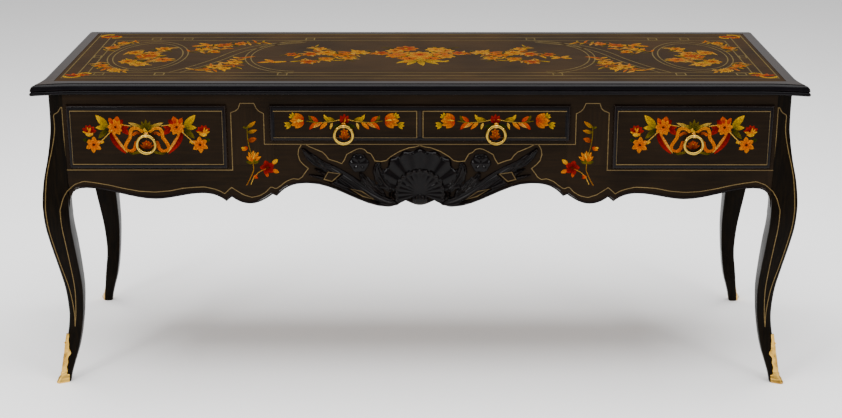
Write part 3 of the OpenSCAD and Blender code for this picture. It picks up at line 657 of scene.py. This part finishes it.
nx, nz = 440, 120                             # points across and up the slab
REACH, SLAB_TOP = 292, 606                    # its half width, and the height of its upper edge
X = np.broadcast_to(np.linspace(-REACH, REACH, nx)[:, None], (nx, nz))
low = hermite(abs(X[:, 0]), APRON) + 0.8
Z = low[:, None] + (SLAB_TOP - low[:, None]) * np.linspace(0, 1, nz)[None]
H = carving_height(X, Z)
face = np.stack([X, FACE_Y + 1.2 - H * 1.02, Z], -1)
back = np.stack([X, np.full_like(X, FACE_Y + 5), Z], -1)
rim = np.concatenate([np.arange(nz), nz * np.arange(1, nx - 1) + nz - 1,
                      (nx - 1) * nz + np.arange(nz)[::-1], nz * np.arange(nx - 2, 0, -1)])
after = np.roll(rim, -1)
walls = np.stack([rim, rim + nx * nz, after + nx * nz, after], -1)
carving = (np.concatenate([face.reshape(-1, 3), back.reshape(-1, 3)]),
           [grid_faces(nx, nz), grid_faces(nx, nz, start=nx * nz)[:, ::-1], walls])
make("shell_ornament", carving, carved_black, "frame", angle=70, stands_for=["shell_carving"])

# %% [markdown]
# Stringing is a thin strip of pale wood or brass let into a sawn groove and levelled. It stands
# a hair proud here so that it catches light. Each strip follows a path on a face, with its
# corners mitred: the side step at a corner is the sum of the two side directions, scaled so
# that the strip keeps its width.

# %% Stringing
LINE_W, TOP_LINE_W, TOP_LINE_RISE = 1.7, 3.0, 0.22


def strip(path, normal, width=LINE_W, rise=0.3, closed=False):
    """Closed bar along a path (n, 3); normal is the face's direction, one or one per point."""
    p = np.asarray(path, float)
    nrm = np.broadcast_to(np.asarray(normal, float), p.shape)
    after = np.roll(p, -1, 0) - p
    before = p - np.roll(p, 1, 0)
    if not closed:
        after[-1], before[0] = before[-1], after[0]
    a, b = np.cross(nrm, before), np.cross(nrm, after)
    a, b = (v / np.linalg.norm(v, axis=1, keepdims=True) for v in (a, b))
    s = (a + b) / np.maximum(1 + (a * b).sum(1, keepdims=True), 0.35) * width / 2
    up, down = nrm * rise, -nrm * 0.6
    rings = np.stack([p + s + up, p - s + up, p - s + down, p + s + down], 1)
    if closed:
        return rings.reshape(-1, 3), [grid_faces(len(p) + 1, 4, True) % (4 * len(p))]
    return loft(rings)


def rect(x0, x1, z0, z1):
    """Corners of a rectangle on the field of a drawer front."""
    return [(x0, FIELD_Y, z0), (x1, FIELD_Y, z0), (x1, FIELD_Y, z1), (x0, FIELD_Y, z1)]


def both(points):
    """An (x, z) line on the case's face and its mirror image."""
    p = np.array([(u, FACE_Y, w) for u, w in points], float)
    return [p, (p * [-1, 1, 1])[::-1]]


FRONT = (0, -1, 0)


def leg_front_y(ax, zz):
    """y of the front leg's front face at distance ax from the middle and height zz."""
    e, n, f = leg_face(zz)
    t = np.clip((CASE_W + e - ax) / (e - n), 0, 1)
    return -CASE_D - (e + (f - e) * t)


lines = both([(-847, 699), (-844, 699), (-844, 545), (-446.5, 545), (-446.5, 686), (-442, 688), (-434, 691),
              (-428, 697), (-424, 709), (-391, 709), (-386, 697), (-380, 690), (-369, 684), (-369, 609),
              (0, 609)])
lines += both([(-290, 522), (-281, 528), (-276, 536), (-266, 549), (-277.5, 559), (-286, 569), (-290, 584),
               (-288, 597), (-281, 609)])
lines += both([(-272, 609), (-262, 603), (-245, 595.5), (-232, 590), (-224, 582), (-217, 572),
               (-199, 566.5),
               (-186, 561), (-179.5, 571), (-174, 584), (-160, 592), (-150, 597), (-141, 599),
               (-132, 596.5),
               (-125, 589), (-117, 586), (-112, 578), (-107, 568), (-93, 566.5), (-80, 569), (-69, 579),
               (-48, 592),
               (-26, 600.5), (-12, 602.5), (-1, 606)])
carcase = merge([strip(p, FRONT) for p in lines]
                + [strip(np.column_stack([m * c[:, 0], np.full(4, FACE_Y), c[:, 1]]), FRONT, 1.8, 0.5,
                         closed=True) for c in LOZENGES for m in (1, -1)])

# The apron line: its low part follows the knee, then both leg lines run down and meet above the ankle.
apron = [(-859, 459), (-854, 477), (-844, 494), (-826, 509), (-804, 517), (-775, 513), (-742, 507),
         (-709, 499),
         (-671, 492), (-635, 490), (-599, 493), (-565, 500), (-539, 502), (-515, 503), (-493, 498),
         (-479, 493),
         (-468, 486), (-451, 502), (-438, 493), (-422, 483), (-403, 477), (-384, 481), (-369, 490),
         (-356, 504),
         (-345, 498), (-333, 506), (-320, 517), (-303, 524), (-290, 522)]
z = np.linspace(140, 455, 60)
e, n, f = leg_face(z)
inner_line = np.column_stack([-(CASE_W + n + 17 + 3 * np.clip((z - 140) / 290, 0, 1)), z])
outer_line = np.column_stack([-(CASE_W + e - 17 + 7.5 * np.clip((z - 140) / 170, 0, 1) ** 0.7), z])
post = np.array([(-892, 494), (-888, 532), (-882, 562), (-875, 589), (-869, 616), (-865, 638), (-864, 658),
                 (-865, 681), (-854, 687), (-848, 697), (-847, 699)], float)


def on_leg(points):
    """Points (x, z) lifted onto the case's face or, past the post's inner edge, onto the leg."""
    p = np.asarray(points, float)
    yy = np.where(abs(p[:, 0]) > CASE_W - POST - 3, leg_front_y(abs(p[:, 0]), p[:, 1]), FACE_Y)
    return np.column_stack([p[:, 0], yy, p[:, 1]])


def refined(points, step=6.0):
    """The same path with points every few millimetres, smoothed where it bends gently."""
    p = np.asarray(points, float)
    at = np.concatenate([[0], np.cumsum(np.linalg.norm(np.diff(p, axis=0), axis=1))])
    s = np.linspace(0, at[-1], int(at[-1] / step) + 2)
    return np.column_stack([np.interp(s, at, p[:, k]) for k in range(p.shape[1])])


whole = [on_leg(refined(np.concatenate(v))) for v in ([inner_line[:-1], apron], [outer_line, post])]
legs = merge([strip(w * [m, 1, 1], FRONT, rise=0.45) for w in whole for m in (1, -1)])
make("string_lines_case", merge([carcase, legs]), inlay_line, "frame")

drawer_lines = {
    "drawer_left": [rect(-825, -466, 561.5, 692)],
    "drawer_centre": [rect(-347, -7.5, 627, 692), rect(7.5, 347, 627, 692)],
    "drawer_right": [rect(466, 825, 561.5, 692)]}
for body, rects in drawer_lines.items():
    make("string_lines_" + body, merge([strip(r, FRONT, closed=True) for r in rects]), inlay_line, body)

# %% [markdown]
# The flowers are marquetry: petals and leaves fretted from dyed and natural veneers, with one
# edge of each scorched in hot sand to shade it. Here a piece of veneer is a closed leaf shape.
# Along it u runs from root to tip and across it v runs from edge to edge; its half width is a
# power of a sine of u, its spine bends as a parabola, and its colour goes from a root colour to
# a tip colour with one darker edge. Every petal of a picture is one row of a table.

# %% Veneer pictures
def srgb(*c):
    """Linear colour from display values of 0 to 255."""
    return (np.array(c) / 255.0) ** 2.2


ORANGE, AMBER, YELLOW = srgb(214, 100, 0), srgb(228, 146, 0), srgb(244, 196, 8)
RED, DEEP, CREAM = srgb(176, 30, 0), srgb(92, 10, 0), srgb(228, 190, 84)
GREEN, OLIVE, MOSS = srgb(60, 74, 16), srgb(116, 104, 18), srgb(40, 50, 14)
TAN, UMBER = srgb(176, 120, 44), srgb(84, 38, 10)


def leaf(x, z, angle, length, width, bend, root, tip):
    """One row: root position, direction in degrees, size, sideways bend of the tip, two colours."""
    return np.concatenate([[x, z, angle, length, width, bend], root, tip])


def fan(x, z, turns, length, width, bend, root, tip):
    """Rows for leaves that spread from one point, of one length or of a length each."""
    return [leaf(x, z, a, l, width, bend, root, tip)
            for a, l in zip(turns, np.broadcast_to(length, len(turns)))]


def bloom(x, z, r, count, root, tip, eye, start=90.0, width=0.62):
    """Rows for a ring of petals and a small eye."""
    rows = []
    for t in start + 360 * np.arange(count) / count:
        c, s = 0.12 * r * np.cos(np.radians(t)), 0.12 * r * np.sin(np.radians(t))
        rows.append(leaf(x + c, z + s, t, r * 0.9, r * width, 0.12, root, tip))
    return rows + [leaf(x - 0.2 * r, z, 0, 0.4 * r, 0.36 * r, 0, eye, eye * 0.7)]


def vine(points, width, root, tip=None):
    """Rows for a stem: short overlapping lengths along a smooth path."""
    p = refined(points, 4.0)
    d = np.diff(p, axis=0)
    tip = root if tip is None else tip
    out = []
    for k, (q, v) in enumerate(zip(p[:-1], d)):
        m = k / max(len(d) - 1, 1)
        c = root * (1 - m) + tip * m
        out.append(leaf(q[0] - v[0] * 0.5, q[1] - v[1] * 0.5, np.degrees(np.arctan2(v[1], v[0])),
                        np.hypot(*v) * 2.0, width, 0, c, c))
    return out


def mirror_rows(rows):
    """The same rows reflected in x."""
    r = np.array(rows)
    r[:, 0] *= -1
    r[:, 2] = 180 - r[:, 2]
    r[:, 5] *= -1
    return list(r)


def picture(name, rows, place, body, steps=9, depth=1.0):
    """One mesh for all rows. place(points (…, 2), height) puts flat points on the object's face."""
    r = np.array(rows)
    u = np.linspace(0, 1, steps)[None, :, None]
    v = np.array([-1, -0.5, 0, 0.5, 1, 0])[None, None, :]
    lift = np.array([0, 1, 1, 1, 0, -1])[None, None, :]
    length, width, bend = (r[:, k, None, None] for k in (3, 4, 5))
    w = width / 2 * np.sin(np.pi * np.clip(u, 0, 1) ** 0.85) ** 0.8
    along = length * u + 0 * v
    across = w * v * (lift > -1) + bend * length * u**2
    c, s = np.cos(np.radians(r[:, 2]))[:, None, None], np.sin(np.radians(r[:, 2]))[:, None, None]
    flat = np.stack([r[:, 0, None, None] + along * c - across * s,
                     r[:, 1, None, None] + along * s + across * c], -1)
    order = 0.12 * (np.arange(len(r)) % 4)[:, None, None]
    taper = np.sin(np.pi * np.clip(u, 0.001, 0.999)) ** 0.3
    height = np.where(lift > 0, 0.32 + order, np.where(lift < 0, -0.3, 0.0)) * taper
    pts = place(flat, height).reshape(-1, 3)
    one = grid_faces(steps, 6, True)
    faces = (one[None] + (np.arange(len(r)) * steps * 6)[:, None, None]).reshape(-1, 4)
    m = np.broadcast_to(u**1.2, height.shape)[..., None]
    shade = (0.80 + 0.20 * (v + 1) / 2 + 0 * u)[..., None] * np.ones((len(r), 1, 1, 1))
    vein = 1 - 0.16 * np.exp(-((v / 0.2) ** 2))[..., None]
    tint = (r[:, None, None, 6:9] * (1 - m) + r[:, None, None, 9:12] * m) * shade * vein
    return make(name, (pts, [faces]), veneer, body, angle=80, tint=depth * tint.reshape(-1, 3))


def on_front(x0, y0):
    """Places flat (x, z) points on a front face whose plane is y0, shifted by x0."""
    return lambda flat, h: np.stack([x0 + flat[..., 0], y0 - h + 0 * flat[..., 0], flat[..., 1]], -1)


def on_top(flat, h):
    """Places flat (x, y) points on the veneered board."""
    return np.stack([flat[..., 0], flat[..., 1], BOARD_H + h + 0 * flat[..., 0]], -1)


# %% Flowers of the side drawers
half_side = (
    vine([(-36, 656), (-52, 658), (-62, 656)], 2.2, CREAM)
    + vine([(-80, 646), (-92, 634), (-104, 622), (-114, 614)], 2.2, CREAM)
    + [leaf(-90, 651, 128, 42, 17, 0.05, OLIVE, YELLOW), leaf(-93, 651, 172, 26, 12, 0.1, GREEN, YELLOW),
       leaf(-90, 645, 205, 30, 13, 0.25, MOSS, OLIVE)]
    + [leaf(-60, 655, -52, 28, 14, 0.1, DEEP, RED), leaf(-60, 656, -15, 20, 10, 0.1, DEEP, RED),
       leaf(-70, 660, 78, 20, 15, 0, RED, ORANGE), leaf(-66, 660, 40, 17, 12, 0, RED, DEEP),
       leaf(-78, 660, 118, 18, 11, 0, RED, ORANGE)]
    + bloom(-72, 653, 20, 9, ORANGE, AMBER, UMBER)
    + [leaf(-86, 642, -66, 64, 17, 0.16, DEEP, RED), leaf(-81, 641, -62, 62, 8, 0.10, ORANGE, CREAM)]
    + fan(-135, 641, (150, 112, 80, 45, 12), 18, 11, 0, DEEP, RED)
    + fan(-135, 638, (165, 135, 105, 75, 45, 15), 16, 6, 0, ORANGE, YELLOW)
    + [leaf(-144, 635, 0, 19, 10, 0, YELLOW, AMBER)]
    + [leaf(-138, 620, 168, 13, 9, 0, MOSS, GREEN)]
    + bloom(-126, 610, 20, 6, ORANGE, AMBER, UMBER, start=80, width=0.6)
    + [leaf(-104, 622, 250, 11, 5, 0, AMBER, YELLOW), leaf(-106, 622, 300, 9, 4, 0, AMBER, YELLOW)]
    + [leaf(-8, 650, 152, 36, 9, 0.1, OLIVE, CREAM)]
    + vine([(-8, 642), (-20, 651), (-33, 650), (-38, 640), (-38, 628), (-46, 617), (-52, 606), (-50, 597),
            (-40, 593), (-30, 598), (-27, 608), (-24, 618)], 8.5, AMBER, ORANGE)
    + vine([(-32, 634), (-24, 640), (-14, 636)], 7, ORANGE, UMBER)
    + vine([(-46, 594), (-36, 588), (-26, 590), (-18, 592)], 6.5, MOSS, OLIVE))
middle_side = (
    fan(0, 644, (90, 66, 114, 45, 135, 24, 156), (29, 26, 26, 22, 22, 17, 17), 8, 0, MOSS, OLIVE)
    + fan(0, 640, (60, 120), 18, 9, 0, YELLOW, CREAM)
    + fan(0, 600, (30, 55, 78, 102, 125, 150), 20, 6, 0, DEEP, ORANGE)
    + bloom(0, 612, 9, 6, RED, ORANGE, YELLOW))
side_rows = half_side + mirror_rows(half_side) + middle_side
picture("flowers_drawer_left", side_rows, on_front(-SIDE_CX - 1, FIELD_Y), "drawer_left")
picture("flowers_drawer_right", side_rows, on_front(SIDE_CX + 1, FIELD_Y), "drawer_right")

# %% Flowers of the centre drawer
half_mid = (
    vine([(-6, 672), (-30, 667), (-60, 664), (-89, 668)], 2.0, CREAM, OLIVE)
    + [leaf(-20, 668, 158, 30, 9, 0.1, MOSS, YELLOW), leaf(-36, 666, 130, 22, 8, -0.1, OLIVE, YELLOW),
       leaf(-52, 665, 205, 26, 8, 0.1, ORANGE, CREAM), leaf(-40, 664, -150, 24, 9, 0.2, AMBER, ORANGE),
       leaf(-62, 666, 140, 22, 9, 0, RED, ORANGE), leaf(-66, 664, 215, 24, 9, 0.15, ORANGE, RED),
       leaf(-76, 667, 118, 17, 7, 0, GREEN, OLIVE), leaf(-28, 664, -120, 17, 6, 0.2, CREAM, YELLOW)]
    + fan(-96, 669, (180, 160, 200, 138, 222), (33, 32, 32, 27, 27), 15, 0, RED, AMBER)
    + fan(-96, 669, (170, 190), 26, 7, 0, YELLOW, CREAM)
    + vine([(-112, 672), (-122, 680)], 1.8, OLIVE) + fan(-118, 677, (110, 145, 175), 13, 6, 0, GREEN,
                                                         YELLOW)
    + vine([(-112, 664), (-128, 660)], 1.8, OLIVE)
    + fan(-126, 660, (165, 195, 225), 16, 7, 0, OLIVE, YELLOW)
    + fan(-10, 660, (200, 235), 18, 6, 0.1, MOSS, GREEN))
middle_mid = (fan(0, 664, (90, 62, 118, 38, 142), (22, 20, 20, 16, 16), 9, 0, DEEP, RED)
              + fan(0, 663, (75, 105), 15, 6, 0, ORANGE, YELLOW)
              + fan(0, 622, (40, 65, 90, 115, 140), 17, 6, 0, UMBER, ORANGE)
              + bloom(0, 640, 10, 6, RED, AMBER, YELLOW))
mid_rows = half_mid + mirror_rows(half_mid) + middle_mid
PANEL_CX = 178                                # middles of the centre drawer's two panels
two = [r + np.concatenate([[dx], np.zeros(11)]) for dx in (-PANEL_CX, PANEL_CX) for r in mid_rows]
picture("flowers_drawer_centre", two, on_front(0, FIELD_Y), "drawer_centre")

# %% Sprays on the upright panels
spray = (
    vine([(-414, 508), (-406, 522), (-396, 545), (-399, 578), (-406, 605), (-409, 630), (-409, 652)], 2.2,
         TAN, OLIVE)
    + vine([(-404, 510), (-396, 528), (-384, 540), (-368, 548)], 2.0, CREAM, TAN)
    + [leaf(-409, 650, 30, 26, 9, 0.1, OLIVE, AMBER), leaf(-409, 638, 8, 24, 9, 0.1, GREEN, AMBER),
       leaf(-409, 648, 160, 11, 5, 0, GREEN, OLIVE), leaf(-408, 616, 20, 22, 12, 0, UMBER, ORANGE),
       leaf(-409, 602, -150, 16, 10, 0, RED, AMBER), leaf(-411, 598, 170, 14, 7, 0, ORANGE, YELLOW)]
    + fan(-398, 566, (85, 58, 112, 32, 138), (28, 28, 26, 24, 20), 8, 0, ORANGE, AMBER)
    + fan(-398, 570, (70, 98), 20, 4, 0, YELLOW, CREAM)
    + fan(-398, 562, (20, 165, 60, 120), 17, 8, 0, OLIVE, GREEN)
    + bloom(-363, 551, 18, 5, DEEP, RED, UMBER, start=100, width=0.8)
    + [leaf(-352, 560, 40, 18, 10, 0, AMBER, YELLOW), leaf(-352, 545, -20, 17, 10, 0, ORANGE, AMBER),
       leaf(-366, 540, -80, 13, 8, 0, RED, ORANGE)]
    + fan(-398, 528, (20, -15), 12, 6, 0, ORANGE, RED))
picture("flowers_panels", spray + mirror_rows(spray), on_front(0, FACE_Y), "frame")

# %% [markdown]
# On the top the lines lay out the picture: two borders with small links between them, an oval
# frame in the middle, and on each side a tall interlaced ring whose double line sweeps back in
# an S. Garlands fill the fields. A garland is a stem with leaves set alternately on both sides
# and small blooms at its nodes; a fixed seed keeps the same growth on every run.

# %% Lines of the top
UP = (0, 0, 1)


def softened(points, step=6.0, window=13):
    """Path with points every few millimetres, its corners averaged over a window."""
    p = refined(points, step)
    k = np.ones(window) / window
    out = np.column_stack([np.convolve(np.pad(p[:, c], window // 2, "edge"), k, "valid") for c in range(2)])
    out[0], out[-1] = p[0], p[-1]
    return out


def oval(cx, cy, rx, ry, a0=0.0, a1=360.0, count=96):
    """Points on an ellipse between two angles."""
    a = np.radians(np.linspace(a0, a1, count, endpoint=a1 - a0 < 359))
    return np.column_stack([cx + rx * np.cos(a), cy + ry * np.sin(a)])


def box_path(x0, x1, y0, y1):
    return np.array([(x0, y0), (x1, y0), (x1, y1), (x0, y1)], float)


def raised(flat):
    """(x, y) points lifted to the veneered board."""
    return np.column_stack([flat, np.full(len(flat), BOARD_H)])


closed_lines = [box_path(-851, 851, -232, 272), box_path(-820, 820, -204, 232),
                box_path(-798, 798, -174, 194)]
side_ovals = [oval(-684, 10, 98, 168), oval(-684, 10, 85, 148)]
links = [box_path(cx - 11, cx + 11, y0 + 3, y0 + 25) for cx, y0 in (
    (-770, -203), (-625, -203), (-695, 200), (-611, 200), (-290, 200), (-330, -203))]
links += [box_path(-817, -801, -12, 12)]
sweeps = [softened([(-604, -172), (-566, -120), (-545, -84), (-510, -20), (-484, 50), (-446, 110),
                    (-390, 158),
                    (-298, 191)]),
          softened([(-578, -172), (-548, -132), (-527, -100), (-490, -35), (-462, 36), (-430, 92),
                    (-380, 140),
                    (-300, 172)]),
          oval(-300, 6, 138, 184, 92, 268, 70), oval(-300, 6, 124, 166, 92, 268, 70)]
top_strips = [strip(raised(c), UP, TOP_LINE_W, TOP_LINE_RISE, closed=True) for c in closed_lines]
for m in (1, -1):
    top_strips += [strip(raised(c * [m, 1]), UP, TOP_LINE_W, TOP_LINE_RISE,
                         closed=True) for c in side_ovals + links]
    top_strips += [strip(raised(c * [m, 1]), UP, TOP_LINE_W, TOP_LINE_RISE) for c in sweeps]
make("string_lines_top", merge(top_strips), top_line_painted_shade, "frame")

# %% Garlands of the top
def garland(path, seed, size, blooms):
    """Rows along a path: leaves on alternate sides, blooms at the given fractions."""
    rng = np.random.default_rng(seed)
    leaves = [(OLIVE, YELLOW), (AMBER, YELLOW), (ORANGE, AMBER), (MOSS, OLIVE), (TAN, CREAM),
              (AMBER, CREAM)]
    petals = [(ORANGE, YELLOW), (RED, AMBER), (AMBER, YELLOW), (ORANGE, AMBER)]
    p = softened(path, 5.0, 7)
    rows = vine(p, 3.2, TAN)
    gap = max(1, int(size * 0.8 / 5))
    for k in range(0, len(p) - 1, gap):
        d = p[min(k + 1, len(p) - 1)] - p[k]
        a = np.degrees(np.arctan2(d[1], d[0]))
        for sgn in (1, -1):
            root, tip = leaves[rng.integers(len(leaves))]
            rows.append(leaf(*p[k], a + sgn * rng.uniform(30, 80), size * rng.uniform(0.7, 1.3),
                             size * rng.uniform(0.20, 0.36), sgn * rng.uniform(-0.15, 0.4), root, tip))
    for f in blooms:
        root, tip = petals[rng.integers(len(petals))]
        q = p[int(f * (len(p) - 1))]
        rows += bloom(q[0], q[1], size * rng.uniform(0.62, 0.82), 7, root, tip, UMBER,
                      start=rng.uniform(0, 90))
    return rows


def scroll(cx, cy, size, turn):
    """Curled corner leaf: a yellow C with red inner petals."""
    a = np.radians(np.linspace(turn, turn + 290, 26))
    r = size * np.linspace(1, 0.42, 26)
    c = np.column_stack([cx + r * np.cos(a), cy + r * np.sin(a)])
    rows = vine(c, size * 0.42, YELLOW, AMBER)
    rows += [leaf(cx, cy, turn + k, size * 1.15, size * 0.5, 0.2, RED, ORANGE) for k in (160, 205, 250,
                                                                                         300)]
    return rows


def bird(cx, cy, size, heading):
    """Body, head, beak, tail and a raised wing, from six pieces of veneer."""
    return [leaf(cx, cy, heading, size, size * 0.42, 0.1, AMBER, YELLOW),
            leaf(cx + 6, cy + size * 0.12, heading + 180, size * 0.95, size * 0.26, 0.1, AMBER, ORANGE),
            leaf(cx, cy, heading + 190, size * 0.8, size * 0.2, -0.1, YELLOW, AMBER),
            leaf(cx + size * 0.2, cy + 4, heading + 115, size * 0.9, size * 0.36, 0.2, ORANGE, YELLOW),
            leaf(cx + size * 0.7, cy + 3, heading + 15, size * 0.36, size * 0.26, 0, YELLOW, AMBER),
            leaf(cx + size, cy + 6, heading, size * 0.2, size * 0.07, 0, UMBER, UMBER)]


side_rows = (
    garland([(-735, -70), (-700, -20), (-680, 30), (-660, 90), (-640, 110)], 3, 34, (0.1, 0.45, 0.6, 0.9))
    + garland([(-742, 60), (-700, 30), (-650, -10), (-628, -60)], 4, 32, (0.15, 0.5, 0.85))
    + garland([(-700, -100), (-680, -60), (-668, 0)], 5, 30, (0.2,))
    + garland([(-590, 60), (-560, 85), (-530, 125), (-500, 140), (-460, 160), (-400, 172)], 6, 28,
              (0.2, 0.5, 0.7))
    + garland([(-545, 40), (-520, 70), (-500, 110)], 7, 26, (0.4,))
    + garland([(-548, -146), (-520, -120), (-480, -95), (-455, -60), (-450, -10)], 8, 34, (0.35, 0.7))
    + garland([(-520, -150), (-480, -130), (-446, -110)], 9, 26, (0.6,))
    + garland([(-790, -60), (-780, -110), (-750, -145), (-712, -160)], 10, 24, (0.3, 0.8))
    + garland([(-795, 70), (-790, 120), (-775, 165), (-735, 182)], 11, 24, (0.3, 0.7))
    + bird(-556, 132, 44, 10)
    + scroll(-828, -206, 22, 200) + scroll(-806, -192, 17, 20) + scroll(-828, 246, 22, 60)
    + scroll(-806, 240, 16, 240))
half_top = (
    garland([(-60, 20), (-110, 50), (-165, 56), (-205, 20), (-250, 60), (-300, 10), (-338, 40)], 21, 32,
            (0.14, 0.3, 0.46, 0.6, 0.78, 0.95))
    + garland([(-205, 20), (-235, -30), (-270, -62), (-300, -40)], 22, 28, (0.4, 0.8))
    + garland([(-150, 40), (-175, 0), (-190, -50)], 23, 26, (0.6,))
    + garland([(-250, 60), (-255, 100), (-280, 122)], 24, 26, (0.5,))
    + garland([(0, -60), (-30, -10), (-60, 40), (-66, 100)], 25, 36, (0.3, 0.6, 0.85)))
middle_top = (
    fan(0, -20, (-60, -90, -120, -35, -145), 78, 20, 0.1, OLIVE, YELLOW)
    + bloom(0, 26, 36, 9, ORANGE, YELLOW, RED) + bloom(-36, 96, 32, 8, RED, AMBER, YELLOW)
    + bloom(42, 86, 30, 8, AMBER, YELLOW, RED) + bloom(-62, 14, 25, 7, ORANGE, AMBER, UMBER)
    + bloom(64, 8, 25, 7, ORANGE, YELLOW, RED)
    + vine(softened([(-40, -62), (-14, -40), (14, -40), (44, -64), (70, -44)]), 10, AMBER, YELLOW))
centre_rows = half_top + mirror_rows(half_top) + middle_top + bird(-372, -60, 40, 5)
centre_rows += fan(352, -6, (35, 150, -30, 205), 30, 13, 0.1, AMBER, YELLOW)
TOP_DEPTH = 0.46                              # the top lies in full light, so its veneers are toned down
for part, rows in (("left", side_rows), ("right", mirror_rows(side_rows)), ("middle", centre_rows)):
    picture("flowers_top_" + part, rows, on_top, "frame", 7, TOP_DEPTH)

# %% [markdown]
# The room is a plain pale floor, soft light from a large panel overhead and two smaller ones in
# front, as for a catalogue picture. The camera stands where the photograph's did: its focal
# length, height and tilt were solved from the corners of the top and the feet.

# %% Floor, lights and camera
scene = bpy.context.scene
floor_mesh = bpy.data.meshes.new("floor")
floor_mesh.from_pydata([(-9, -9, 0), (9, -9, 0), (9, 9, 0), (-9, 9, 0)], [], [(0, 1, 2, 3)])
floor = bpy.data.objects.new("floor", floor_mesh)
scene.collection.objects.link(floor)
floor_mat = bpy.data.materials.new("floor_pale")
floor_mat.use_nodes = True
ft = floor_mat.node_tree
fs = next(n for n in ft.nodes if n.type == "BSDF_PRINCIPLED")
fn = add(ft, "TexNoise", in_Scale=1.5, in_Detail=2.0)
pale = ramp(ft, fn.outputs["Fac"], [(0.3, (0.90, 0.90, 0.90)), (0.7, (0.93, 0.93, 0.925))])
ft.links.new(pale, fs.inputs["Base Color"])
fs.inputs["Roughness"].default_value = 0.85
fs.inputs["Specular IOR Level"].default_value = 0.1
floor_mesh.materials.append(floor_mat)


def panel_light(name, place, turn, size, power):
    """Soft rectangular light."""
    data = bpy.data.lights.new(name, "AREA")
    data.shape = "RECTANGLE"
    data.size, data.size_y = size
    data.energy = power
    o = bpy.data.objects.new(name, data)
    o.location = place
    o.rotation_euler = np.radians(turn)
    scene.collection.objects.link(o)


panel_light("over", (0, -0.2, 3.6), (0, 0, 0), (5.5, 3.6), 400)
panel_light("front_left", (-3.2, -4.2, 2.6), (62, 0, -38), (1.0, 0.8), 95)
panel_light("front_right", (3.4, -3.8, 2.4), (64, 0, 42), (0.9, 0.8), 50)
world = scene.world or bpy.data.worlds.new("world")
scene.world = world
world.use_nodes = True
sky = next(n for n in world.node_tree.nodes if n.type == "BACKGROUND")
sky.inputs["Color"].default_value = (1.0, 0.99, 1.0, 1)
sky.inputs["Strength"].default_value = 0.60
camera = bpy.data.objects.new("camera", bpy.data.cameras.new("camera"))
camera.data.lens, camera.data.sensor_width = 68.34, 36.0
camera.location = (0.0103, -3.9308, 1.6347)
camera.rotation_euler = (np.radians(90 - 17.993), 0, 0.0021)
scene.collection.objects.link(camera)
scene.camera = camera
